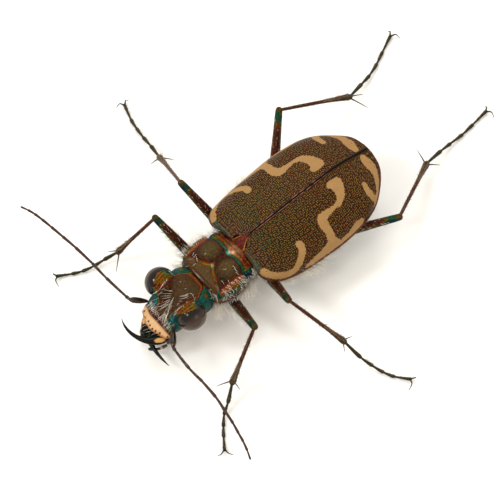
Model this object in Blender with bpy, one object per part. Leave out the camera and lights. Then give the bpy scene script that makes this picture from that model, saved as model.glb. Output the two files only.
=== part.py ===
"""A tiger beetle at life size, standing on six legs with its mandibles crossed.

Lengths are written in millimetres and turned into metres at the end. The beetle faces -Y,
its left side is +X, and the floor that it stands on is z = 0. Body parts are laid out in the
beetle's own frame: x forward from the joint behind the pronotum, y to its left, z up.
"""
import math

import bmesh
import bpy
from mathutils import Matrix, Vector

MM = 0.001
GAP = 0.3
SNUG_GAP = 0.26
SHARP_EDGE = math.radians(40)

# The body's own frame: where its origin stands over the floor, and how far the nose dips.
BODY_ORIGIN = Vector((0.393, -3.757, 2.047))
NOSE_DIP = math.radians(5.0)

# Sections along the body, each (x, half width, height of the widest line, top, bottom). Their
# outline is a superellipse of the power given.
HEAD_POWER = 2.4
PROTHORAX_POWER = 2.5
SHELL_POWER = 2.35
HEAD_SECTIONS = (
    (2.22, 1.00, -0.05, 0.50, -0.70),
    (2.38, 1.13, -0.02, 0.72, -0.86),
    (2.75, 1.02, 0.00, 0.80, -0.95),
    (3.20, 0.92, -0.02, 0.60, -0.98),
    (3.60, 0.95, -0.05, 0.36, -0.94),
    (3.85, 0.92, -0.12, 0.16, -0.86),
    (4.00, 0.84, -0.20, 0.02, -0.74),
)
PROTHORAX_SECTIONS = (
    (1.93, 1.08, 0.10, 0.62, -0.72),
    (1.78, 1.24, 0.14, 0.74, -0.86),
    (1.40, 1.38, 0.16, 0.80, -0.96),
    (0.90, 1.44, 0.16, 0.82, -1.00),
    (0.50, 1.38, 0.16, 0.78, -0.98),
    (0.22, 1.27, 0.14, 0.68, -0.90),
    (0.05, 1.26, 0.14, 0.66, -0.86),
)
# Sections along the closed elytra, each (x, half width, height of the rim, top). Behind one place
# the shell is solid.
ELYTRA_SECTIONS = (
    (-0.26, 1.52, 0.40, 0.84),
    (-0.46, 1.90, 0.25, 0.90),
    (-0.81, 2.13, 0.05, 0.92),
    (-1.56, 2.36, -0.20, 0.89),
    (-2.66, 2.50, -0.35, 0.82),
    (-3.96, 2.57, -0.40, 0.72),
    (-5.16, 2.45, -0.39, 0.56),
    (-6.01, 2.16, -0.36, 0.38),
    (-6.66, 1.70, -0.31, 0.17),
    (-7.08, 1.16, -0.24, 0.02),
    (-7.32, 0.52, -0.16, -0.08),
)
SHELL_THICKNESS = 0.5
SHELL_CLOSED_BEHIND = -6.35

# The thorax and the abdomen under the elytra: how far each reaches, and the height of its underside.
THORAX_REACH = (-0.25, -2.95)
ABDOMEN_REACH = (-3.25, -6.95)
BELLY_LINE = (
    (-0.25, -1.05),
    (-1.20, -1.28),
    (-2.60, -1.36),
    (-4.00, -1.28),
    (-5.60, -0.98),
    (-6.95, -0.55),
)

# The scutellum, a small triangle that rises between the bases of the elytra.
SCUTELLUM_HALF_WIDTH = 0.2
SCUTELLUM_APEX_X = -0.85
SCUTELLUM_TOP = 0.93
SCUTELLUM_ROOT_Z = -0.4

EYE_CENTRE = Vector((3.18, 0.98, 0.44))
EYE_RADIUS = 0.66
EYE_INNER_DEPTH = 0.2

LABRUM_BACK_X = 4.28
LABRUM_FRONT_X = 4.7
LABRUM_HALF_WIDTH = 0.74
LABRUM_TOP = -0.1
LABRUM_THICKNESS = 0.22

# Each mandible is a curve by four control points, from its hinge to its tip.
MANDIBLES = {
    "left": ((4.28, 0.74, -0.72), (5.05, 1.00, -0.55), (5.70, -0.25, -0.28), (5.28, -1.08, -0.28)),
    "right": ((4.28, -0.74, -0.78), (4.95, -0.75, -0.95), (5.15, 0.60, -0.98), (5.05, 1.63, -0.90)),
}
MANDIBLE_RADII = (0.24, 0.22, 0.16, 0.09, 0.03)
# The inner teeth, each (share of the mandible's length, how far it stands out).
MANDIBLE_TEETH = ((0.30, 0.36), (0.46, 0.42))
TOOTH_RADII = (0.13, 0.10, 0.02)

# The palps hang below the mandibles, also by four control points.
PALPS = {
    "left": ((4.32, 0.62, -1.30), (4.75, 0.80, -1.42), (5.00, 0.60, -1.44), (5.10, 0.34, -1.42)),
    "right": ((4.32, -0.62, -1.34), (4.72, -0.86, -1.46), (4.98, -0.74, -1.50), (5.12, -0.48, -1.50)),
}
PALP_RADII = (0.17, 0.18, 0.15, 0.17, 0.14, 0.16, 0.13, 0.14, 0.13, 0.09)

# The feelers, over the floor: the end of the second segment, two guides and the tip.
SCAPE_ROOT = Vector((4.22, 1.04, 0.14))
ANTENNAE = {
    "left": ((2.10, -8.43, 1.97), (4.06, -8.58, 2.32), (5.97, -8.69, 2.73), (7.99, -9.38, 2.43)),
    "right": ((-1.06, -8.43, 2.12), (-3.01, -8.54, 2.31), (-5.12, -8.77, 2.79), (-7.00, -9.16, 2.31)),
}
SCAPE_RADII = (0.20, 0.26, 0.27, 0.23, 0.24)
SEGMENT_LENGTHS = (1.10, 0.87, 0.96, 0.74, 0.67, 0.50, 0.41, 0.41, 0.39)
DARK_SEGMENTS = 2
# One segment, as (share of its length, radius), narrow at its root; the last quarter tapers.
SEGMENT_SHAPE = ((0.0, 0.23), (0.18, 0.225), (0.82, 0.255), (1.0, 0.245))
FEELER_TAPER = (0.75, 0.5)

# Where each leg leaves the body. Over the floor, its knee, its ankle, the bend of its foot seen
# from above, and its toe.
HIPS = {
    "fore": Vector((1.10, 0.66, -1.10)),
    "mid": Vector((-0.72, 0.86, -1.25)),
    "hind": Vector((-2.72, 0.98, -1.45)),
}
LEGS = {
    ("fore", "left"): ((3.67, -5.45, 2.65), (4.33, -7.23, 0.76), (4.90, -8.40), (6.23, -9.27)),
    ("mid", "left"): ((3.82, -3.74, 3.13), (5.98, -2.51, 0.88), (7.50, -2.25), (8.81, -1.30)),
    ("hind", "left"): ((3.58, 2.59, 2.18), (1.91, 5.65, 0.75), (1.60, 7.45), (1.45, 9.46)),
    ("fore", "right"): ((-2.79, -5.38, 2.79), (-3.38, -6.96, 0.74), (-3.70, -8.10), (-4.42, -9.46)),
    ("mid", "right"): ((-3.27, -3.56, 2.95), (-5.67, -2.77, 0.77), (-7.16, -2.53), (-8.81, -2.09)),
    ("hind", "right"): ((-3.46, 2.00, 2.34), (-2.63, 5.28, 0.71), (-3.00, 6.98), (-3.96, 8.77)),
}
COXA_RADII = (0.36, 0.36, 0.30)
FEMUR_SHAPE = ((0.0, 0.25), (0.2, 0.275), (0.45, 0.28), (0.75, 0.26), (1.0, 0.25))
TIBIA_SHAPE = ((0.0, 0.25), (0.15, 0.25), (0.55, 0.25), (0.85, 0.27), (1.0, 0.29))
FOOT_AXIS_HEIGHT = 0.22
HEEL_SHARE = 0.32
HEEL_RADIUS = 0.24
TARSUS_SEGMENTS = {"fore": (0.82, 0.52, 0.52, 0.45, 0.66), "mid": (0.97, 0.60, 0.54, 0.50, 0.72),
                   "hind": (1.09, 0.60, 0.70, 0.67, 0.85)}
TARSUS_SHAPE = ((0.22, 0.22), (0.86, 0.26), (0.96, 0.26))
LAST_SEGMENT_SLIMMER = 0.04

# The two spurs at each ankle, as (turn from the foot's heading in degrees, length).
SPURS = {
    ("fore", "left"): ((-67, 0.68), (66, 0.42)),
    ("mid", "left"): ((78, 0.45), (-54, 0.42)),
    ("hind", "left"): ((66, 0.87), (-50, 0.55)),
    ("fore", "right"): ((72, 0.84), (-60, 0.45)),
    ("mid", "right"): ((-110, 0.61), (60, 0.45)),
    ("hind", "right"): ((-89, 0.89), (-39, 0.58)),
}
SPUR_RADII = (0.13, 0.085, 0.03)
CLAW_LENGTH = 0.42
CLAW_SPREAD = math.radians(62)
CLAW_RADII = (0.12, 0.085, 0.03)

# Colour, metallic value and roughness of each piece.
BRONZE = (0.075, 0.055, 0.030)
COPPER = (0.110, 0.040, 0.025)
HORN = (0.060, 0.035, 0.022)
BLACK_GREEN = (0.012, 0.018, 0.014)
CREAM = (0.720, 0.480, 0.270)
EYE_BROWN = (0.035, 0.025, 0.022)


def on_body(x, y, z):
    """A point of the beetle's own frame, over the floor."""
    forward = math.cos(NOSE_DIP) * x + math.sin(NOSE_DIP) * z
    up = -math.sin(NOSE_DIP) * x + math.cos(NOSE_DIP) * z
    return BODY_ORIGIN + Vector((y, -forward, up))


def mirrored(point, side):
    """The point itself on the left, and its mirror image on the right."""
    return Vector((point[0], point[1] if side == "left" else -point[1], point[2]))


def through(stations, count):
    """Rows of values at even steps along a smooth curve through the stations."""
    last = len(stations) - 1
    rows = []
    for step in range(count):
        place = last * step / (count - 1)
        index = min(int(place), last - 1)
        part = place - index
        before = stations[max(index - 1, 0)]
        here = stations[index]
        there = stations[index + 1]
        after = stations[min(index + 2, last)]
        row = []
        for a, b, c, d in zip(before, here, there, after):
            slope_here = (c - a) / 2
            slope_there = (d - b) / 2
            cube = 2 * b - 2 * c + slope_here + slope_there
            square = -3 * b + 3 * c - 2 * slope_here - slope_there
            row.append(((cube * part + square) * part + slope_here) * part + b)
        rows.append(row)
    return rows


def value_at(stations, x, column=1):
    """A column of the stations at x, on straight runs between them."""
    for here, there in zip(stations, stations[1:]):
        if there[0] <= x <= here[0]:
            share = (x - here[0]) / (there[0] - here[0])
            return here[column] + share * (there[column] - here[column])
    nearest = stations[0] if x > stations[0][0] else stations[-1]
    return nearest[column]


def bezier(controls, share):
    """A point on the curve that four control points guide."""
    a, b, c, d = (Vector(control) for control in controls)
    rest = 1 - share
    return rest**3 * a + 3 * rest**2 * share * b + 3 * rest * share**2 * c + share**3 * d


def signed_power(value, power):
    return math.copysign(abs(value) ** power, value)


def section_ring(section, sides, power, relief):
    """One closed section of the body, with a relief on its upper half."""
    x, half_width, side_z, top, bottom = section
    ring = []
    for k in range(sides):
        angle = 2 * math.pi * k / sides
        y = half_width * signed_power(math.cos(angle), 2 / power)
        lift = abs(math.sin(angle)) ** (2 / power)
        if math.sin(angle) >= 0:
            z = side_z + (top - side_z + relief(x, y)) * lift
        else:
            z = side_z - (side_z - bottom) * lift
        ring.append(on_body(x, y, z))
    return ring


def solid(name, rings):
    """A closed mesh over a row of rings. A ring of one point is a tip, any other end is flat."""
    mesh = bmesh.new()
    rows = [[mesh.verts.new(point) for point in ring] for ring in rings]
    for row, following in zip(rows, rows[1:]):
        count = max(len(row), len(following))
        for k in range(count):
            after = (k + 1) % count
            corners = []
            for vertex in (row[k % len(row)], row[after % len(row)],
                           following[after % len(following)], following[k % len(following)]):
                if vertex not in corners:
                    corners.append(vertex)
            mesh.faces.new(corners)
    for row in (rows[0], rows[-1]):
        if len(row) > 1:
            middle = mesh.verts.new(sum((vertex.co for vertex in row), Vector()) / len(row))
            for k in range(len(row)):
                mesh.faces.new((row[k], row[(k + 1) % len(row)], middle))
    bmesh.ops.triangulate(mesh, faces=mesh.faces[:])
    bmesh.ops.recalc_face_normals(mesh, faces=mesh.faces[:])
    data = bpy.data.meshes.new(name)
    mesh.to_mesh(data)
    mesh.free()
    made = bpy.data.objects.new(name, data)
    bpy.context.scene.collection.objects.link(made)
    return made


def tube(name, path, radii, sides=8, start_normal=None, end_normal=None, on_floor=False):
    """A round solid along a path. Its ends lie square, or on planes with the given normals."""
    tangents = []
    for k in range(len(path)):
        ahead = path[min(k + 1, len(path) - 1)]
        behind = path[max(k - 1, 0)]
        tangents.append((ahead - behind).normalized())
    side = tangents[0].cross(Vector((0, 0, 1)))
    if side.length < 0.1:
        side = Vector((1, 0, 0))
    rings = []
    for k, (point, radius, tangent) in enumerate(zip(path, radii, tangents)):
        side = (side - side.dot(tangent) * tangent).normalized()
        over = side.cross(tangent)
        if radius == 0:
            rings.append([point])
            continue
        normal = start_normal if k == 0 else end_normal if k == len(path) - 1 else None
        ring = []
        for j in range(sides):
            angle = 2 * math.pi * (j + 0.5) / sides
            spot = point + radius * (math.cos(angle) * side + math.sin(angle) * over)
            if normal:
                spot -= tangent * ((spot - point).dot(normal) / tangent.dot(normal))
            if on_floor:
                spot.z = max(spot.z, 0.0)
            ring.append(spot)
        rings.append(ring)
    return solid(name, rings)


def keep_largest(made):
    """Drop every closed surface of the mesh but the largest."""
    mesh = bmesh.new()
    mesh.from_mesh(made.data)
    unseen = set(mesh.faces)
    groups = []
    while unseen:
        group = {unseen.pop()}
        border = list(group)
        while border:
            face = border.pop()
            for edge in face.edges:
                for other in edge.link_faces:
                    if other in unseen:
                        unseen.discard(other)
                        group.add(other)
                        border.append(other)
        groups.append(group)
    groups.sort(key=lambda group: sum(face.calc_area() for face in group))
    for group in groups[:-1]:
        bmesh.ops.delete(mesh, geom=list(group), context="FACES")
    bmesh.ops.triangulate(mesh, faces=mesh.faces[:])
    mesh.to_mesh(made.data)
    mesh.free()


def combine(made, tools, operation):
    """Join closed tools to an object, or cut it with them, and remove the tools."""
    holder = bpy.data.collections.new("tools")
    bpy.context.scene.collection.children.link(holder)
    for tool in tools:
        bpy.context.scene.collection.objects.unlink(tool)
        holder.objects.link(tool)
    modifier = made.modifiers.new("combine", "BOOLEAN")
    modifier.operation = operation
    modifier.operand_type = "COLLECTION"
    modifier.collection = holder
    modifier.solver = "MANIFOLD"
    graph = bpy.context.evaluated_depsgraph_get()
    result = bpy.data.meshes.new_from_object(made.evaluated_get(graph))
    result.name = made.name
    made.modifiers.clear()
    made.data = result
    for tool in tools:
        bpy.data.objects.remove(tool)
    bpy.data.collections.remove(holder)
    keep_largest(made)
    return made


def finish(made, colour, metallic=0.0, roughness=0.4):
    """Give a piece its material and smooth shading."""
    material = bpy.data.materials.new(made.name)
    material.use_nodes = True
    shader = material.node_tree.nodes["Principled BSDF"]
    shader.inputs["Base Color"].default_value = (*colour, 1.0)
    shader.inputs["Metallic"].default_value = metallic
    shader.inputs["Roughness"].default_value = roughness
    made.data.materials.clear()
    made.data.materials.append(material)
    made.data.shade_smooth()
    made.data.set_sharp_from_angle(angle=SHARP_EDGE)


def dip(distance, width, depth):
    """A rounded groove, or with a negative depth a ridge."""
    return -depth * math.exp(-((distance / width) ** 2))


def leg_points(pair, side):
    """The hip, knee and ankle of one leg."""
    knee, ankle = (Vector(point) for point in LEGS[pair, side][:2])
    return on_body(*mirrored(HIPS[pair], side)), knee, ankle


def coxa_path(pair, side):
    """The short run of the coxa, from its socket in the belly to the hip."""
    hip = HIPS[pair]
    root = Vector((hip.x, hip.y - 0.42, hip.z + 0.42))
    return on_body(*mirrored(root, side)), on_body(*mirrored(hip, side))


def fat_leg(pair, side, gap=GAP):
    """The room that a coxa and a femur need in the body."""
    root, hip = coxa_path(pair, side)
    knee = leg_points(pair, side)[1]
    along = (hip - root).normalized()
    thigh_radius = FEMUR_SHAPE[0][1]
    socket_path = [root - along * gap, hip + along * (thigh_radius + gap)]
    socket = tube("socket", socket_path, [COXA_RADII[0] + gap, COXA_RADII[-1] + gap], sides=14)
    thigh = (knee - hip).normalized()
    trough_path = [hip - thigh * thigh_radius, knee]
    trough = tube("trough", trough_path, [thigh_radius + gap] * 2, sides=12)
    return [socket, trough]


def limb(name, first, last, shape, first_plane, last_plane):
    """A straight length of leg, shaped by its (share, radius) pairs."""
    path = [first.lerp(last, share) for share, radius in shape]
    radii = [radius for share, radius in shape]
    return tube(name, path, radii, start_normal=first_plane, end_normal=last_plane)


def spike(name, points, radii):
    """A pointed thorn through three points."""
    return tube(name, points, radii, sides=6)


def make_leg(pair, side):
    """The coxa, femur, tibia and tarsus of one leg, cut on the planes that halve its bends."""
    name = pair + "_" + side
    root, hip = coxa_path(pair, side)
    knee, ankle = leg_points(pair, side)[1:]
    bend, toe = (Vector((x, y, FOOT_AXIS_HEIGHT)) for x, y in LEGS[pair, side][2:])

    heel_height = ankle.z - FOOT_AXIS_HEIGHT
    lengths = TARSUS_SEGMENTS[pair]
    whole = sum(lengths)
    shares = [0.0]
    for length in lengths:
        shares.append(shares[-1] + length / whole)

    def foot_point(share):
        flat = (1 - share) ** 2 * ankle + 2 * share * (1 - share) * bend + share**2 * toe
        lift = heel_height * max(0.0, 1 - share / HEEL_SHARE) ** 1.6
        return Vector((flat.x, flat.y, FOOT_AXIS_HEIGHT + lift))

    thigh = (knee - hip).normalized()
    shin = (ankle - knee).normalized()
    foot = (foot_point(0.12) - ankle).normalized()
    outward = (hip - root).normalized()
    hip_plane = (outward + thigh).normalized()
    knee_plane = (thigh + shin).normalized()
    ankle_plane = (shin + foot).normalized()

    def back_off(point, direction, plane):
        """The point moved along a limb until it is half the gap from the plane of a joint."""
        return point + direction * (GAP / 2 / abs(direction.dot(plane)))

    coxa_end = back_off(hip, -outward, hip_plane)
    coxa = tube("coxa_" + name, [root, root.lerp(coxa_end, 0.5), coxa_end], COXA_RADII,
                sides=10, end_normal=hip_plane)
    finish(coxa, COPPER, 0.7, 0.35)

    thigh_end = back_off(knee, -thigh, knee_plane)
    femur = limb("femur_" + name, back_off(hip, thigh, hip_plane), thigh_end, FEMUR_SHAPE,
                 hip_plane, knee_plane)
    finish(femur, COPPER, 0.7, 0.35)

    shin_end = back_off(ankle, -shin, ankle_plane)
    tibia = limb("tibia_" + name, back_off(knee, shin, knee_plane), shin_end, TIBIA_SHAPE,
                 knee_plane, ankle_plane)
    spurs = []
    heading = math.atan2(foot.y, foot.x)
    for degrees, length in SPURS[pair, side]:
        turn = heading + math.radians(degrees)
        out = Vector((math.cos(turn), math.sin(turn), 0))
        base = shin_end - shin * 0.16 + out * 0.05
        tip = shin_end + out * (length + 0.1) + Vector((0, 0, -0.12))
        spurs.append(spike("spur", [base, base.lerp(tip, 0.5), tip], SPUR_RADII))
    combine(tibia, spurs, "UNION")
    finish(tibia, HORN, 0.4, 0.35)

    path = [back_off(ankle, foot, ankle_plane)]
    radii = [HEEL_RADIUS]
    for k, (first, last) in enumerate(zip(shares, shares[1:])):
        for share, radius in TARSUS_SHAPE:
            if k == 0 and share < 0.5:
                continue
            path.append(foot_point(first + share * (last - first)))
            radii.append(radius if last < 1 else radius - LAST_SEGMENT_SLIMMER)
    tarsus = tube("tarsus_" + name, path, radii, start_normal=ankle_plane, on_floor=True)
    claws = []
    toe_end = path[-1]
    ahead = (toe_end - path[-2]).normalized()
    angle = math.atan2(ahead.y, ahead.x)
    for turn in (-CLAW_SPREAD, CLAW_SPREAD):
        out = Vector((math.cos(angle + turn), math.sin(angle + turn), 0))
        base = toe_end - ahead * 0.14
        middle = toe_end + ahead * 0.1 + out * CLAW_LENGTH * 0.45 + Vector((0, 0, 0.02))
        tip = toe_end + ahead * 0.02 + out * CLAW_LENGTH + Vector((0, 0, -0.1))
        claws.append(spike("claw", [base, middle, tip], CLAW_RADII))
    combine(tarsus, claws, "UNION")
    finish(tarsus, BLACK_GREEN, 0.5, 0.35)


def pronotum_relief(x, y):
    """The V-shaped front groove, the cross groove behind and the line down the middle."""
    front = dip(x - (1.14 + 0.5 * abs(y)), 0.09, 0.10)
    rear = dip(x - 0.30, 0.10, 0.09)
    middle = dip(y, 0.10, 0.05) if 0.3 < x < 1.2 else 0.0
    return front + rear + middle


def make_prothorax():
    rings = [section_ring(row, 28, PROTHORAX_POWER, pronotum_relief)
             for row in through(PROTHORAX_SECTIONS, 22)]
    made = solid("prothorax", rings)
    rooms = fat_leg("fore", "left") + fat_leg("fore", "right")
    combine(made, rooms, "DIFFERENCE")
    finish(made, BRONZE, 0.7, 0.4)


def head_relief(x, y):
    """Ridges beside the eyes, and the hollow brow between them."""
    ridge = dip(abs(y) - 0.58, 0.14, -0.20) * math.exp(-(((x - 3.15) / 0.42) ** 2))
    brow = dip(y, 0.3, 0.06) * math.exp(-(((x - 3.3) / 0.35) ** 2))
    return ridge + brow


def make_eye(side, grow=0.0, name="eye_room"):
    """A bulging ball with a shallow inner face. It can be grown, as the room cut in the head."""
    rings = []
    steps = 14
    for k in range(steps + 1):
        angle = math.pi * k / steps
        reach = (EYE_RADIUS if angle < math.pi / 2 else EYE_INNER_DEPTH) + grow
        offset = reach * math.cos(angle)
        radius = (EYE_RADIUS + grow) * math.sin(angle)
        ring = []
        for j in range(18):
            turn = 2 * math.pi * j / 18
            point = EYE_CENTRE + Vector((radius * math.cos(turn), offset, radius * math.sin(turn)))
            ring.append(on_body(*mirrored(point, side)))
        rings.append(ring if 0 < k < steps else ring[:1])
    return solid(name, rings)


def make_head():
    rings = [section_ring(row, 26, HEAD_POWER, head_relief) for row in through(HEAD_SECTIONS, 19)]
    made = solid("head", rings)
    rooms = [make_eye("left", SNUG_GAP), make_eye("right", SNUG_GAP)]
    combine(made, rooms, "DIFFERENCE")
    finish(made, BRONZE, 0.7, 0.4)
    for side in ("left", "right"):
        finish(make_eye(side, name="eye_" + side), EYE_BROWN, 0.0, 0.12)


def make_labrum():
    """The cream upper lip: a thin plate with a bowed front edge and a small middle tooth."""
    rings = []
    for k in range(17):
        across = -1 + 2 * k / 16
        y = LABRUM_HALF_WIDTH * across
        bow = (LABRUM_FRONT_X - LABRUM_BACK_X) * (1 - 0.5 * across**2) - dip(y, 0.06, 0.05)
        front = LABRUM_BACK_X + bow
        arch = 0.12 * across**2
        top_back = LABRUM_TOP - arch
        top_front = top_back - 0.12
        back_low = top_back - LABRUM_THICKNESS
        front_low = top_front - LABRUM_THICKNESS * 0.8
        middle = (LABRUM_BACK_X + front) / 2
        rings.append([on_body(LABRUM_BACK_X, y, top_back), on_body(middle, y, top_back - 0.03),
                      on_body(front, y, top_front), on_body(front, y, front_low),
                      on_body(LABRUM_BACK_X, y, back_low)])
    finish(solid("labrum", rings), CREAM, 0.0, 0.45)


def make_mandible(side):
    """A long sickle with a flat root and inner teeth."""
    controls = MANDIBLES[side]
    shares = [k / 14 for k in range(15)]
    path = [on_body(*bezier(controls, share)) for share in shares]
    radii = [row[0] for row in through([(radius,) for radius in MANDIBLE_RADII], len(shares))]
    made = tube("mandible_" + side, path, radii, sides=10)
    teeth = []
    inward = 1 if side == "right" else -1
    for share, length in MANDIBLE_TEETH:
        here = bezier(controls, share)
        ahead = (bezier(controls, share + 0.02) - here).normalized()
        across = Vector((-ahead.y * inward, ahead.x * inward, -0.12))
        aim = (across + ahead * 0.5).normalized()
        tip = here + aim * length
        points = [on_body(*point) for point in (here - aim * 0.02, here.lerp(tip, 0.5), tip)]
        teeth.append(spike("tooth", points, TOOTH_RADII))
    combine(made, teeth, "UNION")
    finish(made, BLACK_GREEN, 0.4, 0.25)


def make_palp(side):
    last = len(PALP_RADII) - 1
    path = [on_body(*bezier(PALPS[side], k / last)) for k in range(last + 1)]
    finish(tube("palp_" + side, path, PALP_RADII), CREAM, 0.2, 0.4)


def make_antenna(side):
    """The stout first two segments, then the dark and the dull lengths of the feeler."""
    controls = ANTENNAE[side]
    root = on_body(*mirrored(SCAPE_ROOT, side))
    elbow = Vector(controls[0])
    flow = (bezier(controls, 0.05) - elbow).normalized()
    reach = (elbow - root).normalized()
    plane = (flow + reach).normalized()
    end = elbow - reach * (GAP / 2 / reach.dot(plane))
    scape_path = [root.lerp(end, share) for share in (0, 0.3, 0.6, 0.8, 1)]
    scape = tube("scape_" + side, scape_path, SCAPE_RADII, end_normal=plane)
    finish(scape, COPPER, 0.7, 0.35)

    whole = sum(SEGMENT_LENGTHS)
    bounds = [0.0]
    for length in SEGMENT_LENGTHS:
        bounds.append(bounds[-1] + length / whole)
    split = bounds[DARK_SEGMENTS]
    half_gap = GAP / 2 / whole
    lengths = (("feeler_base_" + side, 0, DARK_SEGMENTS, COPPER),
               ("feeler_tip_" + side, DARK_SEGMENTS, len(SEGMENT_LENGTHS), HORN))
    for name, first, last, colour in lengths:
        path = []
        radii = []
        for k in range(first, last):
            start, stop = bounds[k], bounds[k + 1]
            if k == first:
                start += half_gap
            if k == last - 1 and stop == split:
                stop -= half_gap
            for share, radius in SEGMENT_SHAPE:
                if share == 0.0 and k > first:
                    continue
                place = start + share * (stop - start)
                past = max(0.0, (place - FEELER_TAPER[0]) / (1 - FEELER_TAPER[0]))
                path.append(bezier(controls, place))
                radii.append(radius * (1 - FEELER_TAPER[1] * past))
        start_plane = plane if first == 0 else None
        finish(tube(name, path, radii, start_normal=start_plane), colour, 0.4, 0.4)


def elytron_row(x, half_width, rim, top, suture):
    """Half of a section of the elytra: the outer arc from rim to suture, and the inner back."""
    outer = 13
    inner = 9
    bend = 2 / SHELL_POWER
    points = []
    for k in range(outer):
        angle = math.pi / 2 * k / (outer - 1)
        y = half_width * math.cos(angle) ** bend
        z = rim + (top - rim) * math.sin(angle) ** bend
        points.append((max(y, suture), z))
    hollow = x > SHELL_CLOSED_BEHIND and x < THORAX_REACH[0] - 0.12
    rise = max(0.0, top - rim - SHELL_THICKNESS) if hollow else 0.0
    span = max(half_width - SHELL_THICKNESS, suture + (half_width - suture) * 0.5)
    for k in range(inner):
        angle = math.pi / 2 * (1 - k / (inner - 1))
        y = suture + (span - suture) * math.cos(angle) ** bend
        z = rim + rise * math.sin(angle) ** bend
        points.append((y, z))
    return points


def suture_at(x):
    """How far the elytron keeps from the middle: half the gap, and clear of the scutellum."""
    share = max(0.0, (x - SCUTELLUM_APEX_X) / (THORAX_REACH[0] - SCUTELLUM_APEX_X))
    return GAP / 2 + share * (SCUTELLUM_HALF_WIDTH + GAP - GAP / 2)


def make_elytron(side):
    """A curved wing case, hollow below, cut clear of the thighs that pass under its rim."""
    rings = []
    for x, half_width, rim, top in through(ELYTRA_SECTIONS, 26):
        row = elytron_row(x, half_width, rim, top, suture_at(x))
        rings.append([on_body(*mirrored((x, y, z), side)) for y, z in row])
    made = solid("elytron_" + side, rings)
    rooms = fat_leg("mid", side, SNUG_GAP) + fat_leg("hind", side, SNUG_GAP)
    combine(made, rooms, "DIFFERENCE")
    finish(made, BRONZE, 0.6, 0.45)


def belly_ring(x, floor_z):
    """A section of the body under the elytra: a core that fits their hollow, over a wide belly."""
    half_width = value_at(ELYTRA_SECTIONS, x, 1)
    rim = value_at(ELYTRA_SECTIONS, x, 2)
    top = value_at(ELYTRA_SECTIONS, x, 3)
    ledge = rim - GAP
    hollow = x > SHELL_CLOSED_BEHIND + 0.35 and x < THORAX_REACH[0] - 0.4
    rise = max(0.02, top - SHELL_THICKNESS - GAP - ledge) if hollow else 0.02
    core = max(0.15, half_width - SHELL_THICKNESS - GAP)
    wide = max(core + 0.05, half_width - 0.22)
    points = []
    for k in range(9):
        angle = math.pi * k / 8
        points.append((core * math.cos(angle), ledge + rise * max(0.0, math.sin(angle)) ** 0.85))
    for k in range(13):
        angle = math.pi * (1 + k / 12)
        depth = abs(math.sin(angle)) ** 0.8
        points.append((wide * math.cos(angle), ledge - 0.02 - (ledge - floor_z) * depth))
    return [on_body(x, y, z) for y, z in points]


def make_belly(name, reach, steps, pairs):
    """The thorax or the abdomen, cut clear of the legs of the pairs named."""
    rings = []
    for k in range(steps + 1):
        x = reach[0] + (reach[1] - reach[0]) * k / steps
        rings.append(belly_ring(x, value_at(BELLY_LINE, x)))
    made = solid(name, rings)
    rooms = []
    for pair in pairs:
        rooms += fat_leg(pair, "left") + fat_leg(pair, "right")
    combine(made, rooms, "DIFFERENCE")
    return made


def make_thorax():
    """The thorax, with the scutellum on it."""
    made = make_belly("thorax", THORAX_REACH, 13, ("mid", "hind"))
    wedge = []
    for k in range(6):
        x = THORAX_REACH[0] + (SCUTELLUM_APEX_X + 0.03 - THORAX_REACH[0]) * k / 5
        half = max(0.02, suture_at(x) - GAP)
        top = SCUTELLUM_TOP - 0.02 * k
        wedge.append([on_body(x, half, SCUTELLUM_ROOT_Z), on_body(x, half, top - 0.05),
                      on_body(x, 0, top), on_body(x, -half, top - 0.05),
                      on_body(x, -half, SCUTELLUM_ROOT_Z)])
    combine(made, [solid("wedge", wedge)], "UNION")
    finish(made, COPPER, 0.7, 0.4)


def main():
    for old in list(bpy.data.objects):
        bpy.data.objects.remove(old)
    make_head()
    make_labrum()
    make_prothorax()
    make_thorax()
    finish(make_belly("abdomen", ABDOMEN_REACH, 14, ("hind",)), BLACK_GREEN, 0.6, 0.4)
    for side in ("left", "right"):
        make_mandible(side)
        make_palp(side)
        make_antenna(side)
        make_elytron(side)
        for pair in ("fore", "mid", "hind"):
            make_leg(pair, side)

    beetle = bpy.data.objects.new("tiger_beetle", None)
    bpy.context.scene.collection.objects.link(beetle)
    for made in list(bpy.data.objects):
        if made.type == "MESH":
            made.data.transform(Matrix.Scale(MM, 4))
            made.parent = beetle


main()
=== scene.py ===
# %% [markdown]
# # A life-size tiger beetle
#
# The packed solids give the beetle's size and stance. This notebook gives it its looks: a metallic cuticle
# whose colour turns from bronze through copper and green to blue, wing cases pitted all over and scrolled
# in cream, a cream upper lip, black sickle mandibles, and white bristles. Each step first says what the
# piece is on the real animal and why it is made the way it is. Lengths are in millimetres until a mesh is
# built.

import math

import bpy
import numpy as np
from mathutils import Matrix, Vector


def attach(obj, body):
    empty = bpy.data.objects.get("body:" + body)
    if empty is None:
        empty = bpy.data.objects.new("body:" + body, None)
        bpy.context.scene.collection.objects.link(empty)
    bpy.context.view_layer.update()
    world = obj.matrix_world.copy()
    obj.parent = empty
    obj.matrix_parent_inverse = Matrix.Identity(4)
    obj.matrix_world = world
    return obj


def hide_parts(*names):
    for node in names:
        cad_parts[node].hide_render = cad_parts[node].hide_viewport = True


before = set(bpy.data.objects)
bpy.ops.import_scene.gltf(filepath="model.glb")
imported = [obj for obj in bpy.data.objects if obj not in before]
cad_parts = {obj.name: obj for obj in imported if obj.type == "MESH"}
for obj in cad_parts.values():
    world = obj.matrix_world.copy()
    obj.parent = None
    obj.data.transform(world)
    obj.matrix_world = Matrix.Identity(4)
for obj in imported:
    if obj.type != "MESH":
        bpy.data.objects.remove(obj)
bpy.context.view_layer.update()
MM = 0.001
SIDES = {"left": 1, "right": -1}

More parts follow.
